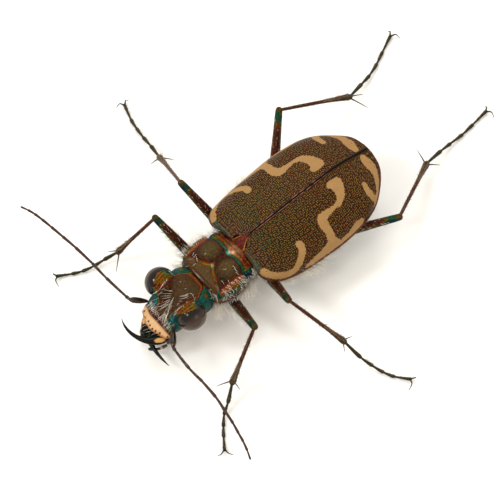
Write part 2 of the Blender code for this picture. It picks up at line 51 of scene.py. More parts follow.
# %% [markdown]
# ## The body's own frame
#
# Body parts are easiest to draw along the animal: x forward from the joint behind the pronotum, y to its
# left and z up. The body dips a little at the nose, so one function turns and shifts those points to stand
# over the floor.

# %% Body places over the floor
BODY_ORIGIN = np.array((0.393, -3.757, 2.047))
NOSE_DIP = math.radians(5.0)


def full_turn(count):
    """Angles at even steps round a circle."""
    return np.linspace(0, 2 * math.pi, count, endpoint=False)


def split(points):
    """The three coordinates of places, each as an array."""
    return np.moveaxis(np.asarray(points, float), -1, 0)


def on_side(points, side):
    """Places of the left side, mirrored where the side is the right one."""
    return np.asarray(points, float) * (1, SIDES[side], 1)


def over_floor(points):
    """Body places, in millimetres, as places over the floor."""
    x, y, z = split(points)
    forward = math.cos(NOSE_DIP) * x + math.sin(NOSE_DIP) * z
    up = math.cos(NOSE_DIP) * z - math.sin(NOSE_DIP) * x
    return BODY_ORIGIN + np.stack([y, -forward, up], -1)


def unit(vectors):
    """The same directions, one long."""
    return vectors / (np.linalg.norm(vectors, axis=-1, keepdims=True) + 1e-12)

# %% Smooth steps, humps and curves


def ease(low, high, value):
    """0 at low, 1 at high and smooth between, whichever of the two is greater."""
    share = np.clip((value - low) / (high - low), 0, 1)
    return share * share * (3 - 2 * share)


def hump(distance, width):
    """1 at no distance, fading to nothing over a few widths."""
    return np.exp(-((distance / width) ** 2))


def spot(forward, aside, width):
    """A round hump, from the distances along and across."""
    return hump(np.hypot(forward, aside), width)


def smooth(stations, count):
    """Rows of values at even steps along a smooth curve through the stations."""
    stations = np.asarray(stations, float)
    last = len(stations) - 1
    place = np.linspace(0, last, count)
    index = np.minimum(place.astype(int), last - 1)
    part = (place - index)[:, None]
    before, here, there, after = (stations[np.clip(index + k, 0, last)] for k in (-1, 0, 1, 2))
    slope_here = (there - before) / 2
    slope_there = (after - here) / 2
    cube = 2 * here - 2 * there + slope_here + slope_there
    square = -3 * here + 3 * there - 2 * slope_here - slope_there
    return ((cube * part + square) * part + slope_here) * part + here


def bezier(controls, share):
    """Points at the shares of a curve that four control points guide."""
    a, b, c, d = (np.asarray(point, float) for point in controls)
    t = np.asarray(share, float)[:, None]
    return (1 - t) ** 3 * a + 3 * (1 - t) ** 2 * t * b + 3 * (1 - t) * t**2 * c + t**3 * d


print("the body's joint stands at", over_floor((0, 0, 0)).round(2), "mm")

# %% [markdown]
# ## Finishes
#
# A finish is a node tree. Written node by node it is hard to read, so one small class wraps a socket: sums
# and products on it add Math nodes, or Vector Math nodes where it holds a colour or a place. Every other
# node comes from one method that takes its type, its settings and its sockets.

# %% Shader expressions
VECTOR_SOCKETS = ("VECTOR", "RGBA")


def arithmetic(operation, turned=False):
    """A method of a wire that joins it and another term by a Math or a Vector Math node."""

    def join(wire, other):
        terms = (other, wire) if turned else (wire, other)
        is_vector = any(isinstance(term, Wire) and term.socket.type in VECTOR_SOCKETS for term in terms)
        kind = "ShaderNodeVectorMath" if is_vector else "ShaderNodeMath"
        return wire.finish.node(kind, {"operation": operation}, dict(enumerate(terms)))

    return join


class Wire:
    """A socket of a finish, which takes part in arithmetic like a number."""

    __add__ = arithmetic("ADD")
    __sub__ = arithmetic("SUBTRACT")
    __rsub__ = arithmetic("SUBTRACT", turned=True)
    __mul__ = arithmetic("MULTIPLY")

    def __init__(self, finish, socket):
        self.finish = finish
        self.socket = socket


class Finish:
    """A procedural material under construction. Its patterns follow one field of the mesh, its place."""

    def __init__(self, name, place="place"):
        self.material = bpy.data.materials.new(name)
        self.material.use_nodes = True
        self.tree = self.material.node_tree
        self.tree.nodes.clear()
        self.place = self.field(place, 1) if place else self.node("ShaderNodeTexCoord", output=3)

    def node(self, kind, settings=None, inputs=None, output=0):
        """A node of any type: its settings first, then its sockets. The wire of one output comes back."""
        made = self.tree.nodes.new(kind)
        for key, value in (settings or {}).items():
            if key == "stops":
                self._set_stops(made.color_ramp, value)
            else:
                setattr(made, key, value)
        for key, value in (inputs or {}).items():
            socket = made.inputs[key]
            if isinstance(value, Wire):
                self.tree.links.new(value.socket, socket)
            elif socket.type in VECTOR_SOCKETS and np.ndim(value) == 0:
                socket.default_value = [value] * len(socket.default_value)
            elif socket.type == "RGBA":
                socket.default_value = (*value, 1.0)
            else:
                socket.default_value = value
        return Wire(self, made.outputs[output])

    @staticmethod
    def _set_stops(ramp, stops):
        while len(ramp.elements) > 1:
            ramp.elements.remove(ramp.elements[-1])
        ramp.elements[0].position = stops[0][0]
        ramp.elements[0].color = (*stops[0][1], 1.0)
        for position, colour in stops[1:]:
            ramp.elements.new(position).color = (*colour, 1.0)

    def field(self, name, output=2):
        """A value that the mesh carries at each point. Output 1 is a vector."""
        return self.node("ShaderNodeAttribute", {"attribute_name": name}, output=output)

    def between(self, low, high, value):
        """A smooth step of a value."""
        settings = {"interpolation_type": "SMOOTHSTEP"}
        return self.node("ShaderNodeMapRange", settings, {"Value": value, "From Min": low, "From Max": high})

    def blend(self, share, first, second):
        """One colour at share 0 and another at share 1."""
        return self.node("ShaderNodeMix", {"data_type": "RGBA"}, {0: share, 6: first, 7: second}, output=2)

    def noise(self, scale, detail=2.0, roughness=0.5, place=None, output=0):
        """Clouds at a scale. Output 1 is a colour."""
        inputs = {"Vector": place or self.place, "Scale": scale, "Detail": detail, "Roughness": roughness}
        return self.node("ShaderNodeTexNoise", None, inputs, output)

    def ramp(self, value, stops):
        return self.node("ShaderNodeValToRGB", {"stops": stops}, {"Fac": value})

    def close(self, colour, metallic, roughness, specular, relief=None):
        """End in a principled shader. Relief is a height, its depth in metres and its strength."""
        inputs = {"Base Color": colour, "Metallic": metallic, "Roughness": roughness}
        inputs["Specular IOR Level"] = specular
        if relief:
            height, depth, strength = relief
            bump = {"Height": height, "Distance": depth, "Strength": strength}
            inputs["Normal"] = self.node("ShaderNodeBump", None, bump)
        shader = self.node("ShaderNodeBsdfPrincipled", None, inputs)
        surface = self.tree.nodes.new("ShaderNodeOutputMaterial")
        self.tree.links.new(shader.socket, surface.inputs["Surface"])
        return self.material


print("a finish has:", [name for name in vars(Finish) if not name.startswith("_")])

# %% [markdown]
# ## Colours
#
# The cuticle's colours come from thin layers and not from paint, so they follow one order wherever they
# change: bronze on open surfaces, then copper, gold, green, teal and blue down into a groove. One ramp
# holds that order, and each mesh carries a value, its shift, that says how far along the ramp it is. That
# works from every side, as the shift depends on the surface and not on the camera. Lip, palps, feelers,
# feet and bristles are horn without that shine, and have a simpler helper of two plain colours.

# %% The iridescent ramp
SHIFT_STOPS = (
    (0.0, (0.082, 0.048, 0.017)),
    (0.12, (0.078, 0.034, 0.012)),
    (0.26, (0.125, 0.018, 0.008)),
    (0.38, (0.26, 0.075, 0.006)),
    (0.5, (0.12, 0.11, 0.008)),
    (0.62, (0.026, 0.095, 0.022)),
    (0.76, (0.01, 0.11, 0.085)),
    (0.9, (0.008, 0.036, 0.07)),
    (1.0, (0.018, 0.008, 0.026)),
)

# %% Cuticle and horn


def cuticle(name, metallic=0.6, roughness=0.42, grain=22.0, darkness=1.0):
    """Metallic cuticle that reads its shift from the mesh, mottled where it is wild, and finely wrinkled."""
    made = Finish(name)
    mottle = made.noise(8.0, 3.0, 0.65) - 0.5
    speck = made.noise(grain, 2.0) - 0.5
    shift = made.field("shift") + mottle * (made.field("wild") * 0.75 + 0.14) + speck * 0.34
    colour = made.ramp(shift, SHIFT_STOPS) * (made.noise(12.0, output=1) * 2.1 - 0.3) * darkness
    # Painted glints: the specks are lightened and darkened at random, partly random tone and partly glints
    # on the wrinkles painted into the colour.
    speck_tone_and_glint = made.between(-0.25, 0.3, speck) * 0.9 + 0.5
    # The added field holds colour stains and, on the pronotum and the scutellum, painted highlights.
    colour = colour * speck_tone_and_glint + made.field("gleam", 1)
    wrinkle = made.noise(grain * 0.8, 4.0, 0.6)
    return made.close(colour, metallic, roughness, 0.12, (wrinkle, 0.00004, 0.8))


def horn(name, clouds, dark, pale, layers, surface, grain):
    """Plain horn: clouds of two colours, then layers where a field of the mesh is between two values."""
    made = Finish(name)
    colour = made.blend(made.noise(*clouds), dark, pale)
    for field, low, high, share, tint in layers:
        colour = made.blend(made.between(low, high, made.field(field)) * share, colour, tint)
    return made.close(colour, *surface, grain and (made.noise(*grain[:2]), *grain[2:]))


BODY_FINISH = cuticle("bronze cuticle", darkness=0.98)
LIMB_FINISH = cuticle("copper limb", 0.55, 0.28, 18.0, 0.5)
BELLY_FINISH = cuticle("belly cuticle", 0.6, 0.35, 16.0, 0.7)
print("cuticle finishes:", BODY_FINISH.name, LIMB_FINISH.name, BELLY_FINISH.name)

# %% [markdown]
# ## Making meshes
#
# Most parts of an insect are skins over a row of rings, so one function joins rings into a closed skin and
# turns its faces outward. A piece gathers one or more skins, carries its fields and rides on the frame's
# one body.

# %% Skins and pieces


def new_object(name, data):
    """An object of the scene that holds a mesh, a lamp or a camera."""
    made = bpy.data.objects.new(name, data)
    bpy.context.scene.collection.objects.link(made)
    return made


def ring_quads(rows, columns):
    """The numbers of the points of a row of rings, and the quads between them."""
    index = np.arange(rows * columns).reshape(rows, columns)
    after = np.roll(index, -1, axis=1)
    return index, np.stack([index[:-1], after[:-1], after[1:], index[1:]], -1).reshape(-1, 4)


class Piece:
    """One object of the model, gathered from skins in millimetres over the floor."""

    def __init__(self, name):
        self.name = name
        self.points = []
        self.faces = []
        self.fields = {}

    def add(self, points, groups, fields):
        """Add points with their fields, and groups of faces between them."""
        start = sum(len(part) for part in self.points)
        self.points.append(points)
        for faces in groups:
            self.faces += (faces + start).tolist()
        for key, values in fields.items():
            self.fields.setdefault(key, []).append(values)

    def skin(self, rings, place=None, **fields):
        """Close a row of rings with quads and a fan over each end. A field may be one number."""
        rows, columns = rings.shape[:2]
        points = np.concatenate([rings.reshape(-1, 3), rings[[0, -1]].mean(axis=1)])
        index, quads = ring_quads(rows, columns)
        fans = [np.stack([np.roll(ring, -1), ring, np.full(columns, tip)], -1)
                for ring, tip in ((index[0], len(points) - 2), (index[-1], len(points) - 1))]
        fans = np.concatenate([fans[0], fans[1][:, (1, 0, 2)]])
        corners = points[np.concatenate([quads[:, :3], quads[:, (0, 2, 3)], fans])]
        if (corners[:, 0] * np.cross(corners[:, 1], corners[:, 2])).sum() < 0:
            quads = quads[:, ::-1]
            fans = fans[:, ::-1]
        full = {}
        for key, values in {"place": rings if place is None else place, **fields}.items():
            values = np.broadcast_to(values, (rows, columns, *np.shape(values)[2:]))
            ends = values[[0, -1]].mean(axis=1)
            full[key] = np.concatenate([values.reshape(rows * columns, *values.shape[2:]), ends])
        self.add(points, (quads, fans), full)

    def body_skin(self, grid, **fields):
        """A skin that is given in the body's frame, which its patterns follow."""
        self.skin(over_floor(grid), grid, **fields)

    def build(self, material, slot=None, solid=None):
        """Make the object, dress it and hand it to the frame."""
        points = np.concatenate(self.points)
        mesh = bpy.data.meshes.new(self.name)
        mesh.from_pydata((points * MM).tolist(), [], self.faces)
        for key, parts in self.fields.items():
            values = np.concatenate(parts).astype(np.float32)
            kind = "FLOAT_VECTOR" if values.ndim == 2 else "FLOAT"
            attribute = mesh.attributes.new(key, kind, "POINT")
            attribute.data.foreach_set("vector" if values.ndim == 2 else "value", values.ravel())
        mesh.shade_smooth()
        mesh.materials.append(material)
        made = new_object(self.name, mesh)
        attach(made, "root")
        if solid:
            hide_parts(solid)
        size = points.max(axis=0) - points.min(axis=0)
        print(f"{self.name}: {len(self.faces)} faces, {size[0]:.2f} x {size[1]:.2f} x {size[2]:.2f} mm")
        return made

# %% Rods
DOME_TURNS = np.radians((80, 60, 40, 20))


def rod(path, radii, sides=18, flat=1.0):
    """Rings of a round rod along a path, with domed ends. Flat below 1 makes it lower than wide."""
    path = np.asarray(path, float)
    tangents = unit(np.gradient(path, axis=0))
    stops = list(zip(path, np.broadcast_to(radii, len(path)), tangents))
    domes = [[(point + tangent * radius * math.sin(turn) * sign, radius * math.cos(turn), tangent)
              for turn in DOME_TURNS] for (point, radius, tangent), sign in ((stops[0], -1), (stops[-1], 1))]
    stops = domes[0] + stops + domes[1][::-1]
    across = np.cross(stops[0][2], (0, 0, 1))
    if np.linalg.norm(across) < 0.1:
        across = np.array((1.0, 0, 0))
    turns = full_turn(sides)[:, None]
    rings = []
    for point, radius, tangent in stops:
        across = unit(across - across.dot(tangent) * tangent)
        over = np.cross(across, tangent)
        rings.append(point + radius * (np.cos(turns) * across + flat * np.sin(turns) * over))
    return np.array(rings)


def tapered(points, count, wide, narrow, sides, flat=1.0):
    """A rod on a smooth curve through the points, from one radius to another."""
    return rod(smooth(points, count), np.linspace(wide, narrow, count), sides, flat)


def row_shares(rings):
    """How far along each ring is, from 0 to 1, as a column for a skin's fields."""
    middles = rings.mean(axis=1)
    steps = np.linalg.norm(np.diff(middles, axis=0), axis=1)
    shares = np.concatenate([[0], np.cumsum(steps)]) / steps.sum()
    return shares[:, None]


print("a rod between two places has", len(rod([(0, 0, 0), (1, 0, 0)], 0.1)), "rings, most in its domes")

# %% [markdown]
# ## Camera, floor and light
#
# The photo looks down at the beetle from its front left with a long lens. The camera's place comes from a
# perspective fit of some seventy points of the photo. The floor is plain and pale, and the light is soft,
# with the key on the beetle's right so that the shadow falls under its left side.

# %% Camera, floor and lights
CAMERA_AZIMUTH = math.radians(49.485)
CAMERA_ELEVATION = math.radians(63.898)
CAMERA_DISTANCE = 205.32
CAMERA_TARGET = np.array((-0.127, -2.456, 0.0))
CAMERA_LENS = 350.65
FLOOR_HALF = 0.6
SKY_COLOUR = (1.0, 0.94, 0.85, 1.0)
SKY_STRENGTH = 0.92
LIGHTS = (
    # name, place in mm, side of the square in mm, power in watts
    ("key", (-79, -118, 141), 42, 0.12),
    ("catch light", (6, -116, 162), 40, 0.05),
    ("side", (-120, 70, 170), 110, 0.145),
    ("left fill", (190, 30, 120), 110, 0.05),
    ("rear strip", (-10, 190, 150), 90, 0.05),
)

# %% Set them up


def make_camera():
    level, up = math.cos(CAMERA_ELEVATION), math.sin(CAMERA_ELEVATION)
    back = np.array((level * math.sin(CAMERA_AZIMUTH), -level * math.cos(CAMERA_AZIMUTH), up))
    camera = new_object("camera", bpy.data.cameras.new("camera"))
    camera.location = (CAMERA_TARGET + CAMERA_DISTANCE * back) * MM
    camera.rotation_euler = Vector(-back).to_track_quat("-Z", "Y").to_euler()
    camera.data.lens = CAMERA_LENS
    camera.data.clip_start = 0.005
    camera.data.clip_end = 5.0
    bpy.context.scene.camera = camera


def make_floor():
    """A wide pale sheet. Its faint grain keeps it from looking like a flat colour."""
    mesh = bpy.data.meshes.new("floor")
    corners = [(x * FLOOR_HALF, y * FLOOR_HALF, 0) for x, y in ((-1, -1), (1, -1), (1, 1), (-1, 1))]
    mesh.from_pydata(corners, [], [(0, 1, 2, 3)])
    paper = Finish("pale floor", place=None)
    colour = paper.blend(paper.noise(900.0), (0.92, 0.915, 0.9), (0.95, 0.945, 0.93))
    mesh.materials.append(paper.close(colour, 0.0, 0.7, 0.5))
    new_object("floor", mesh)


def make_lights():
    for name, place, side, power in LIGHTS:
        data = bpy.data.lights.new(name, "AREA")
        data.size = side * MM
        data.energy = power
        lamp = new_object(name, data)
        lamp.location = Vector(place) * MM
        lamp.rotation_euler = (-lamp.location).to_track_quat("-Z", "Y").to_euler()
    world = bpy.data.worlds.new("soft box")
    world.use_nodes = True
    sky = world.node_tree.nodes["Background"].inputs
    sky["Color"].default_value = SKY_COLOUR
    sky["Strength"].default_value = SKY_STRENGTH
    bpy.context.scene.world = world
    bpy.context.scene.view_settings.view_transform = "Standard"


make_camera()
make_floor()
make_lights()
print(f"camera {CAMERA_DISTANCE:.0f} mm away with a {CAMERA_LENS:.0f} mm lens, {len(LIGHTS)} lamps")

# %% [markdown]
# ## Skins of the body
#
# Head, prothorax and hind body are tubes of hard cuticle. Each is lofted from sections, given as forward
# place, half width, height of the widest line, top and bottom. A section is a superellipse, which is
# rounder than a box and fuller than an ellipse. Sulci, ridges and wrinkles are then pressed along the
# surface's own normals.

# %% A body skin


class Shell:
    """A grid of places over a skin, in the body's frame, that other things can be set on."""

    def __init__(self, grid, patch):
        self.grid = grid
        self.patch = patch
        self.normals = self.find_normals()

    def find_normals(self):
        along = np.gradient(self.grid, axis=0)
        around = (np.roll(self.grid, -1, axis=1) - np.roll(self.grid, 1, axis=1)) / 2
        normals = unit(np.cross(around, along))
        outward = self.grid - self.grid.mean(axis=1)[:, None]
        return normals * np.sign((normals * outward).sum(axis=2).mean())

    def press(self, heights):
        """Move each place out along its normal."""
        self.grid = self.grid + self.normals * heights[..., None]
        self.normals = self.find_normals()

    def sample(self, rows, columns):
        """Places, normals and patches of an unwrap at fractional rows and columns, each from 0 to 1."""
        row_count, column_count = self.grid.shape[:2]
        row = np.clip(rows, 0, 1) * (row_count - 1.001)
        column = (columns % 1.0) * column_count
        r = row.astype(int)
        c = column.astype(int) % column_count
        p = (row - r)[:, None]
        q = (column - np.floor(column))[:, None]
        d = (c + 1) % column_count

        def read(values):
            upper = values[r, c] * (1 - q) + values[r, d] * q
            lower = values[r + 1, c] * (1 - q) + values[r + 1, d] * q
            return upper * (1 - p) + lower * p

        left, bottom, width, height = self.patch
        unwrap = np.stack([left + width * (columns % 1.0), bottom + height * np.clip(rows, 0, 1)], -1)
        return read(self.grid), unit(read(self.normals)), unwrap


def loft(stations, rows, columns, power):
    """A grid of places over superellipse sections through the stations."""
    x, half_width, side_z, top, bottom = smooth(stations, rows).T[:, :, None]
    turns = full_turn(columns)
    cos = np.sign(np.cos(turns)) * np.abs(np.cos(turns)) ** (2 / power)
    sin = np.abs(np.sin(turns)) ** (2 / power)
    z = np.where(np.sin(turns) >= 0, side_z + (top - side_z) * sin, side_z - (side_z - bottom) * sin)
    return np.stack([np.broadcast_to(x, z.shape), half_width * cos, z], -1)


def dress(name, shell, shift, **fields):
    """A piece made of a shell, with its shift kept on the ramp."""
    piece = Piece(name)
    piece.body_skin(shell.grid, shift=np.clip(shift, 0, 1), **fields)
    return piece


def stains(*rows):
    """Colours added up, each where all its shares are high, as a field of vectors."""
    return sum(math.prod(shares)[..., None] * np.array(colour) for colour, *shares in rows)

# %% [markdown]
# ## Prothorax
#
# The pronotum is the broad shield behind the head. A V-shaped sulcus cuts off its front collar, a cross
# sulcus its rear one, and a fine line runs down the middle between two bronze lobes. The sulci shine green,
# teal and blue, and the flanks glow copper red, so the shift follows the same distances as the relief.

# %% Sections of the prothorax
PROTHORAX_STATIONS = (
    (1.96, 0.98, 0.08, 0.52, -0.66),
    (1.92, 1.12, 0.1, 0.63, -0.74),
    (1.78, 1.24, 0.14, 0.73, -0.86),
    (1.4, 1.38, 0.16, 0.8, -0.96),
    (0.9, 1.44, 0.16, 0.82, -1.0),
    (0.5, 1.38, 0.16, 0.78, -0.98),
    (0.22, 1.27, 0.14, 0.68, -0.9),
    (0.02, 1.25, 0.14, 0.65, -0.86),
    (-0.16, 1.2, 0.12, 0.6, -0.82),
)
SULCUS_FRONT = ((0.0, 1.15), (0.14, 1.25), (0.34, 1.37), (0.58, 1.48), (0.8, 1.59), (1.0, 1.69), (1.3, 1.9))
SULCUS_REAR = 0.18
EDGE_STRIPE = 0.085
print("widest, mm:", 2 * max(row[1] for row in PROTHORAX_STATIONS))

# %% Prothorax


def make_prothorax():
    grid = loft(PROTHORAX_STATIONS, rows=190, columns=240, power=2.5)
    x, y, z = split(grid)
    grid[..., 0] = x - 0.11 * hump(y, 0.75) * ease(0.1, -0.16, x) * ease(0.0, 0.3, z)
    shell = Shell(grid, patch=(0.02, 0.02, 0.28, 0.28))
    x, y, z = split(shell.grid)
    above = ease(0.0, 0.35, z)
    across = np.abs(y)
    front = x - np.interp(across, *np.array(SULCUS_FRONT).T)
    front += 0.013 * np.sin(13 * y + 1) + 0.007 * np.sin(31 * y)
    rear = x - (SULCUS_REAR + 0.1 * hump(y, 0.15) + 0.16 * ease(0.75, 1.1, across))
    lobes = ease(0.02, 0.2, rear) * ease(-0.02, -0.2, front)
    heights = -0.1 * hump(front, 0.055) - 0.12 * hump(rear, 0.075) - 0.08 * hump(y, 0.11) * lobes
    heights += 0.11 * lobes * hump(across - 0.6, 0.4)
    heights -= 0.03 * hump(x - 1.8, 0.03) + 0.03 * hump(x + 0.06, 0.03)
    wrinkles = 0.003 * np.sin(34 * x + 5 * np.sin(6 * y)) * np.sin(9 * y + 4 * x)
    shell.press(above * heights + wrinkles)
    flank = ease(0.98, 1.16, across) * ease(0.85, 0.6, z)
    under = ease(0.5, 0.36, z)
    shift = 0.12 - 0.11 * spot(1.1 * (x - 0.78), across - 0.55, 0.42)
    shift += above * hump(front, 0.08) * 0.3
    shift += above * hump(front, 0.036) * (0.22 + 0.22 * ease(0.7, 1.05, across) + 0.16 * np.sin(11 * y + 1))
    shift += above * (0.24 * hump(rear, 0.09) + 0.4 * hump(rear, 0.04))
    shift += 0.03 * lobes * hump(y, 0.07) + 0.01 * ease(0.0, 0.1, front)
    shift += 0.16 * ease(0.0, -0.08, rear) + 0.1 * ease(0.7, 1.0, across) * ease(0.0, -0.08, rear)
    shift += flank * 0.26 * (1 - under) * (1 - hump(front, 0.1)) + under * 0.6 * ease(0.15, 0.3, z)
    shift += (1 - above) * 0.2
    collar = ease(-0.03, -0.09, rear) * above
    wild = 0.1 + 0.5 * flank + 0.7 * collar + 0.4 * hump(front, 0.08)
    patchy = 0.5 + 0.5 * np.sin(9 * y + 2) * np.sin(4 * y)
    flecks = 0.5 + 0.5 * np.sin(70 * x + 3 * np.sin(23 * y)) * np.sin(61 * y + 2 * np.sin(31 * x))
    broken = 0.62 + 0.38 * np.sin(17 * y + 2 * np.sin(9 * y))
    cushion = np.hypot(0.95 * (x - 0.76), across - 0.56)
    # Painted shade: the ring darkens each lobe towards its rim, as shade on a rounded cushion.
    ring = lobes * ease(0.3, 0.52, cushion) * above
    stripes = 0.3 + 0.7 * ease(-0.4, 0.6, np.sin(x * 2 * math.pi / EDGE_STRIPE + 3 * across))
    gleam = stains(
        ((0.03, 0.3, 0.34), spot(x - 0.23, y + 0.05, 0.075)),
        ((0.01, 0.1, 0.085), hump(rear, 0.035), ease(1.0, 0.6, across), above, patchy),
        ((0.15, 0.05, 0.01), hump(rear - 0.065, 0.028), ease(1.2, 0.9, across), above),
        ((0.15, 0.085, 0.04), collar, hump(y - 0.05, 0.34), 0.25 + flecks),
        # Painted highlight: a pink spot on the rear collar.
        ((0.5, 0.26, 0.22), collar, spot(x - 0.1, y - 0.1, 0.065)),
        ((0.34, 0.13, 0.005), hump(front - 0.045, 0.022), above, ease(1.15, 0.9, across), broken),
        ((0.2, 0.03, 0.004), hump(front + 0.055, 0.024), above, ease(1.15, 0.9, across)),
        ((0.1, 0.18, 0.01), hump(front, 0.024), above, ease(0.75, 0.2, across), broken),
        ((0.04, 0.26, 0.18), spot(x - 1.17, y - 0.02, 0.05)),
        # Painted highlight: a pale gold line across the rear collar.
        ((0.34, 0.24, 0.09), hump(rear + 0.075, 0.02), hump(y - 0.05, 0.26), above),
        # Painted shade on the lobes' rims, and a lighter olive middle that is partly tint and partly painted
        # light on the cushions' tops.
        ((-0.018, -0.01, -0.004), ring, 1 - hump(front, 0.08), 1 - hump(rear, 0.09)),
        ((0.006, 0.01, 0.001), lobes, above, ease(0.45, 0.1, cushion)),
        ((-0.05, -0.02, -0.006), collar, ease(0.4, 0.75, across)),
        ((0.11, 0.015, 0.018), collar, ease(0.35, 0.6, across), ease(0.55, 0.9, flecks)),
        ((0.008, 0.014, 0.005), above, ease(0.02, 0.1, front), ease(1.9, 1.8, x)),
        ((0.03, 0.17, 0.15), hump(front, 0.03), above, ease(0.65, 0.9, across)),
        # Painted highlight: a white line along the front margin.
        ((0.3, 0.3, 0.27), hump(x - 1.875, 0.018), hump(y + 0.05, 0.24), above),
        ((0.2, 0.05, 0.008), hump(across - 1.12, 0.07), lobes, ease(0.45, 0.6, z), stripes),
    )
    piece = dress("prothorax_shell", shell, shift, wild=wild, gleam=gleam)
    piece.build(BODY_FINISH, "bronze_body", "prothorax")
    return shell


PROTHORAX = make_prothorax()

# %% [markdown]
# ## Head
#
# The head is as wide as the pronotum. Behind is a smooth dome, the vertex, then a hollow brow with fine
# ridges beside each eye, and in front the short clypeus. Beside each eye the cuticle rises into a plate
# that hugs the eyeball: there the loft is pushed out to a ball slightly larger than the eye, up to the
# plate's edge.

# %% Sections of the head
HEAD_STATIONS = (
    (1.74, 0.86, 0.0, 0.48, -0.62),
    (1.98, 0.98, 0.0, 0.6, -0.74),
    (2.2, 1.1, 0.0, 0.71, -0.84),
    (2.42, 1.12, 0.02, 0.8, -0.92),
    (2.75, 1.07, 0.06, 0.8, -0.96),
    (3.1, 1.0, 0.06, 0.68, -0.98),
    (3.45, 0.96, 0.0, 0.47, -0.96),
    (3.75, 0.94, -0.08, 0.26, -0.9),
    (4.0, 0.88, -0.15, 0.07, -0.78),
    (4.2, 0.8, -0.22, -0.06, -0.64),
)
EYE_CENTRE = np.array((3.18, 0.98, 0.44))
EYE_RADIUS = 0.66
PLATE_GAP = 0.03
BROW_RIDGE = 0.075
PLATE_STREAK = 0.13
PLATE_EDGE = ((2.53, 1.1), (2.8, 1.11), (3.0, 1.13), (3.12, 1.13), (3.24, 1.09), (3.38, 1.02), (3.54, 0.91),
              (3.7, 0.77), (3.8, 0.67))
CROWN_REAR = ((0.0, 1.95), (0.3, 1.97), (0.42, 2.02), (0.55, 2.18), (0.65, 2.34), (0.75, 2.6), (0.9, 2.8))
SOCKET = np.array((4.04, 0.84, 0.04))
print("across the eyes, mm:", round(2 * (EYE_CENTRE[1] + EYE_RADIUS), 2))

# %% Head


def raise_plates(grid):
    """Slope the crown up to the eyeball inside the plate's edge, and sink it under the ball outside."""
    x, y, z = split(grid)
    stations = np.array(PLATE_EDGE)
    edge = np.interp(x, stations[:, 0], stations[:, 1])
    span = ease(2.5, 2.72, x) * ease(3.84, 3.74, x)
    reach = np.abs(y).max(axis=1, keepdims=True)
    y = y * (1 + (np.maximum(edge * 1.05 / reach, 1) - 1) * span * ease(0.0, 0.25, z))
    across = np.abs(y)
    rise = (EYE_RADIUS + PLATE_GAP) ** 2 - (x - EYE_CENTRE[0]) ** 2 - (edge - EYE_CENTRE[1]) ** 2
    height = EYE_CENTRE[2] + np.sqrt(np.maximum(rise, 0))
    share = ease(0.18, 1.0, across / edge) ** 0.9
    inside = ease(1.02, 0.99, across / edge)
    lifted = z + np.maximum(height - z, 0) * share * span * ease(-0.1, 0.2, z)
    cap = (EYE_RADIUS + PLATE_GAP) ** 2 - (x - EYE_CENTRE[0]) ** 2 - (across - EYE_CENTRE[1]) ** 2
    cap = np.where(cap > 0, EYE_CENTRE[2] + np.sqrt(np.maximum(cap, 0)), -9)
    lifted = np.maximum(lifted, np.where((span > 0.5) & (z > 0.1), cap, -9))
    sunk = np.minimum(z, 0.35)
    near_eye = span * ease(0.1, 0.3, z)
    out = lifted * inside + (z + (sunk - z) * near_eye) * (1 - inside)
    return np.stack([x, y, out], -1)


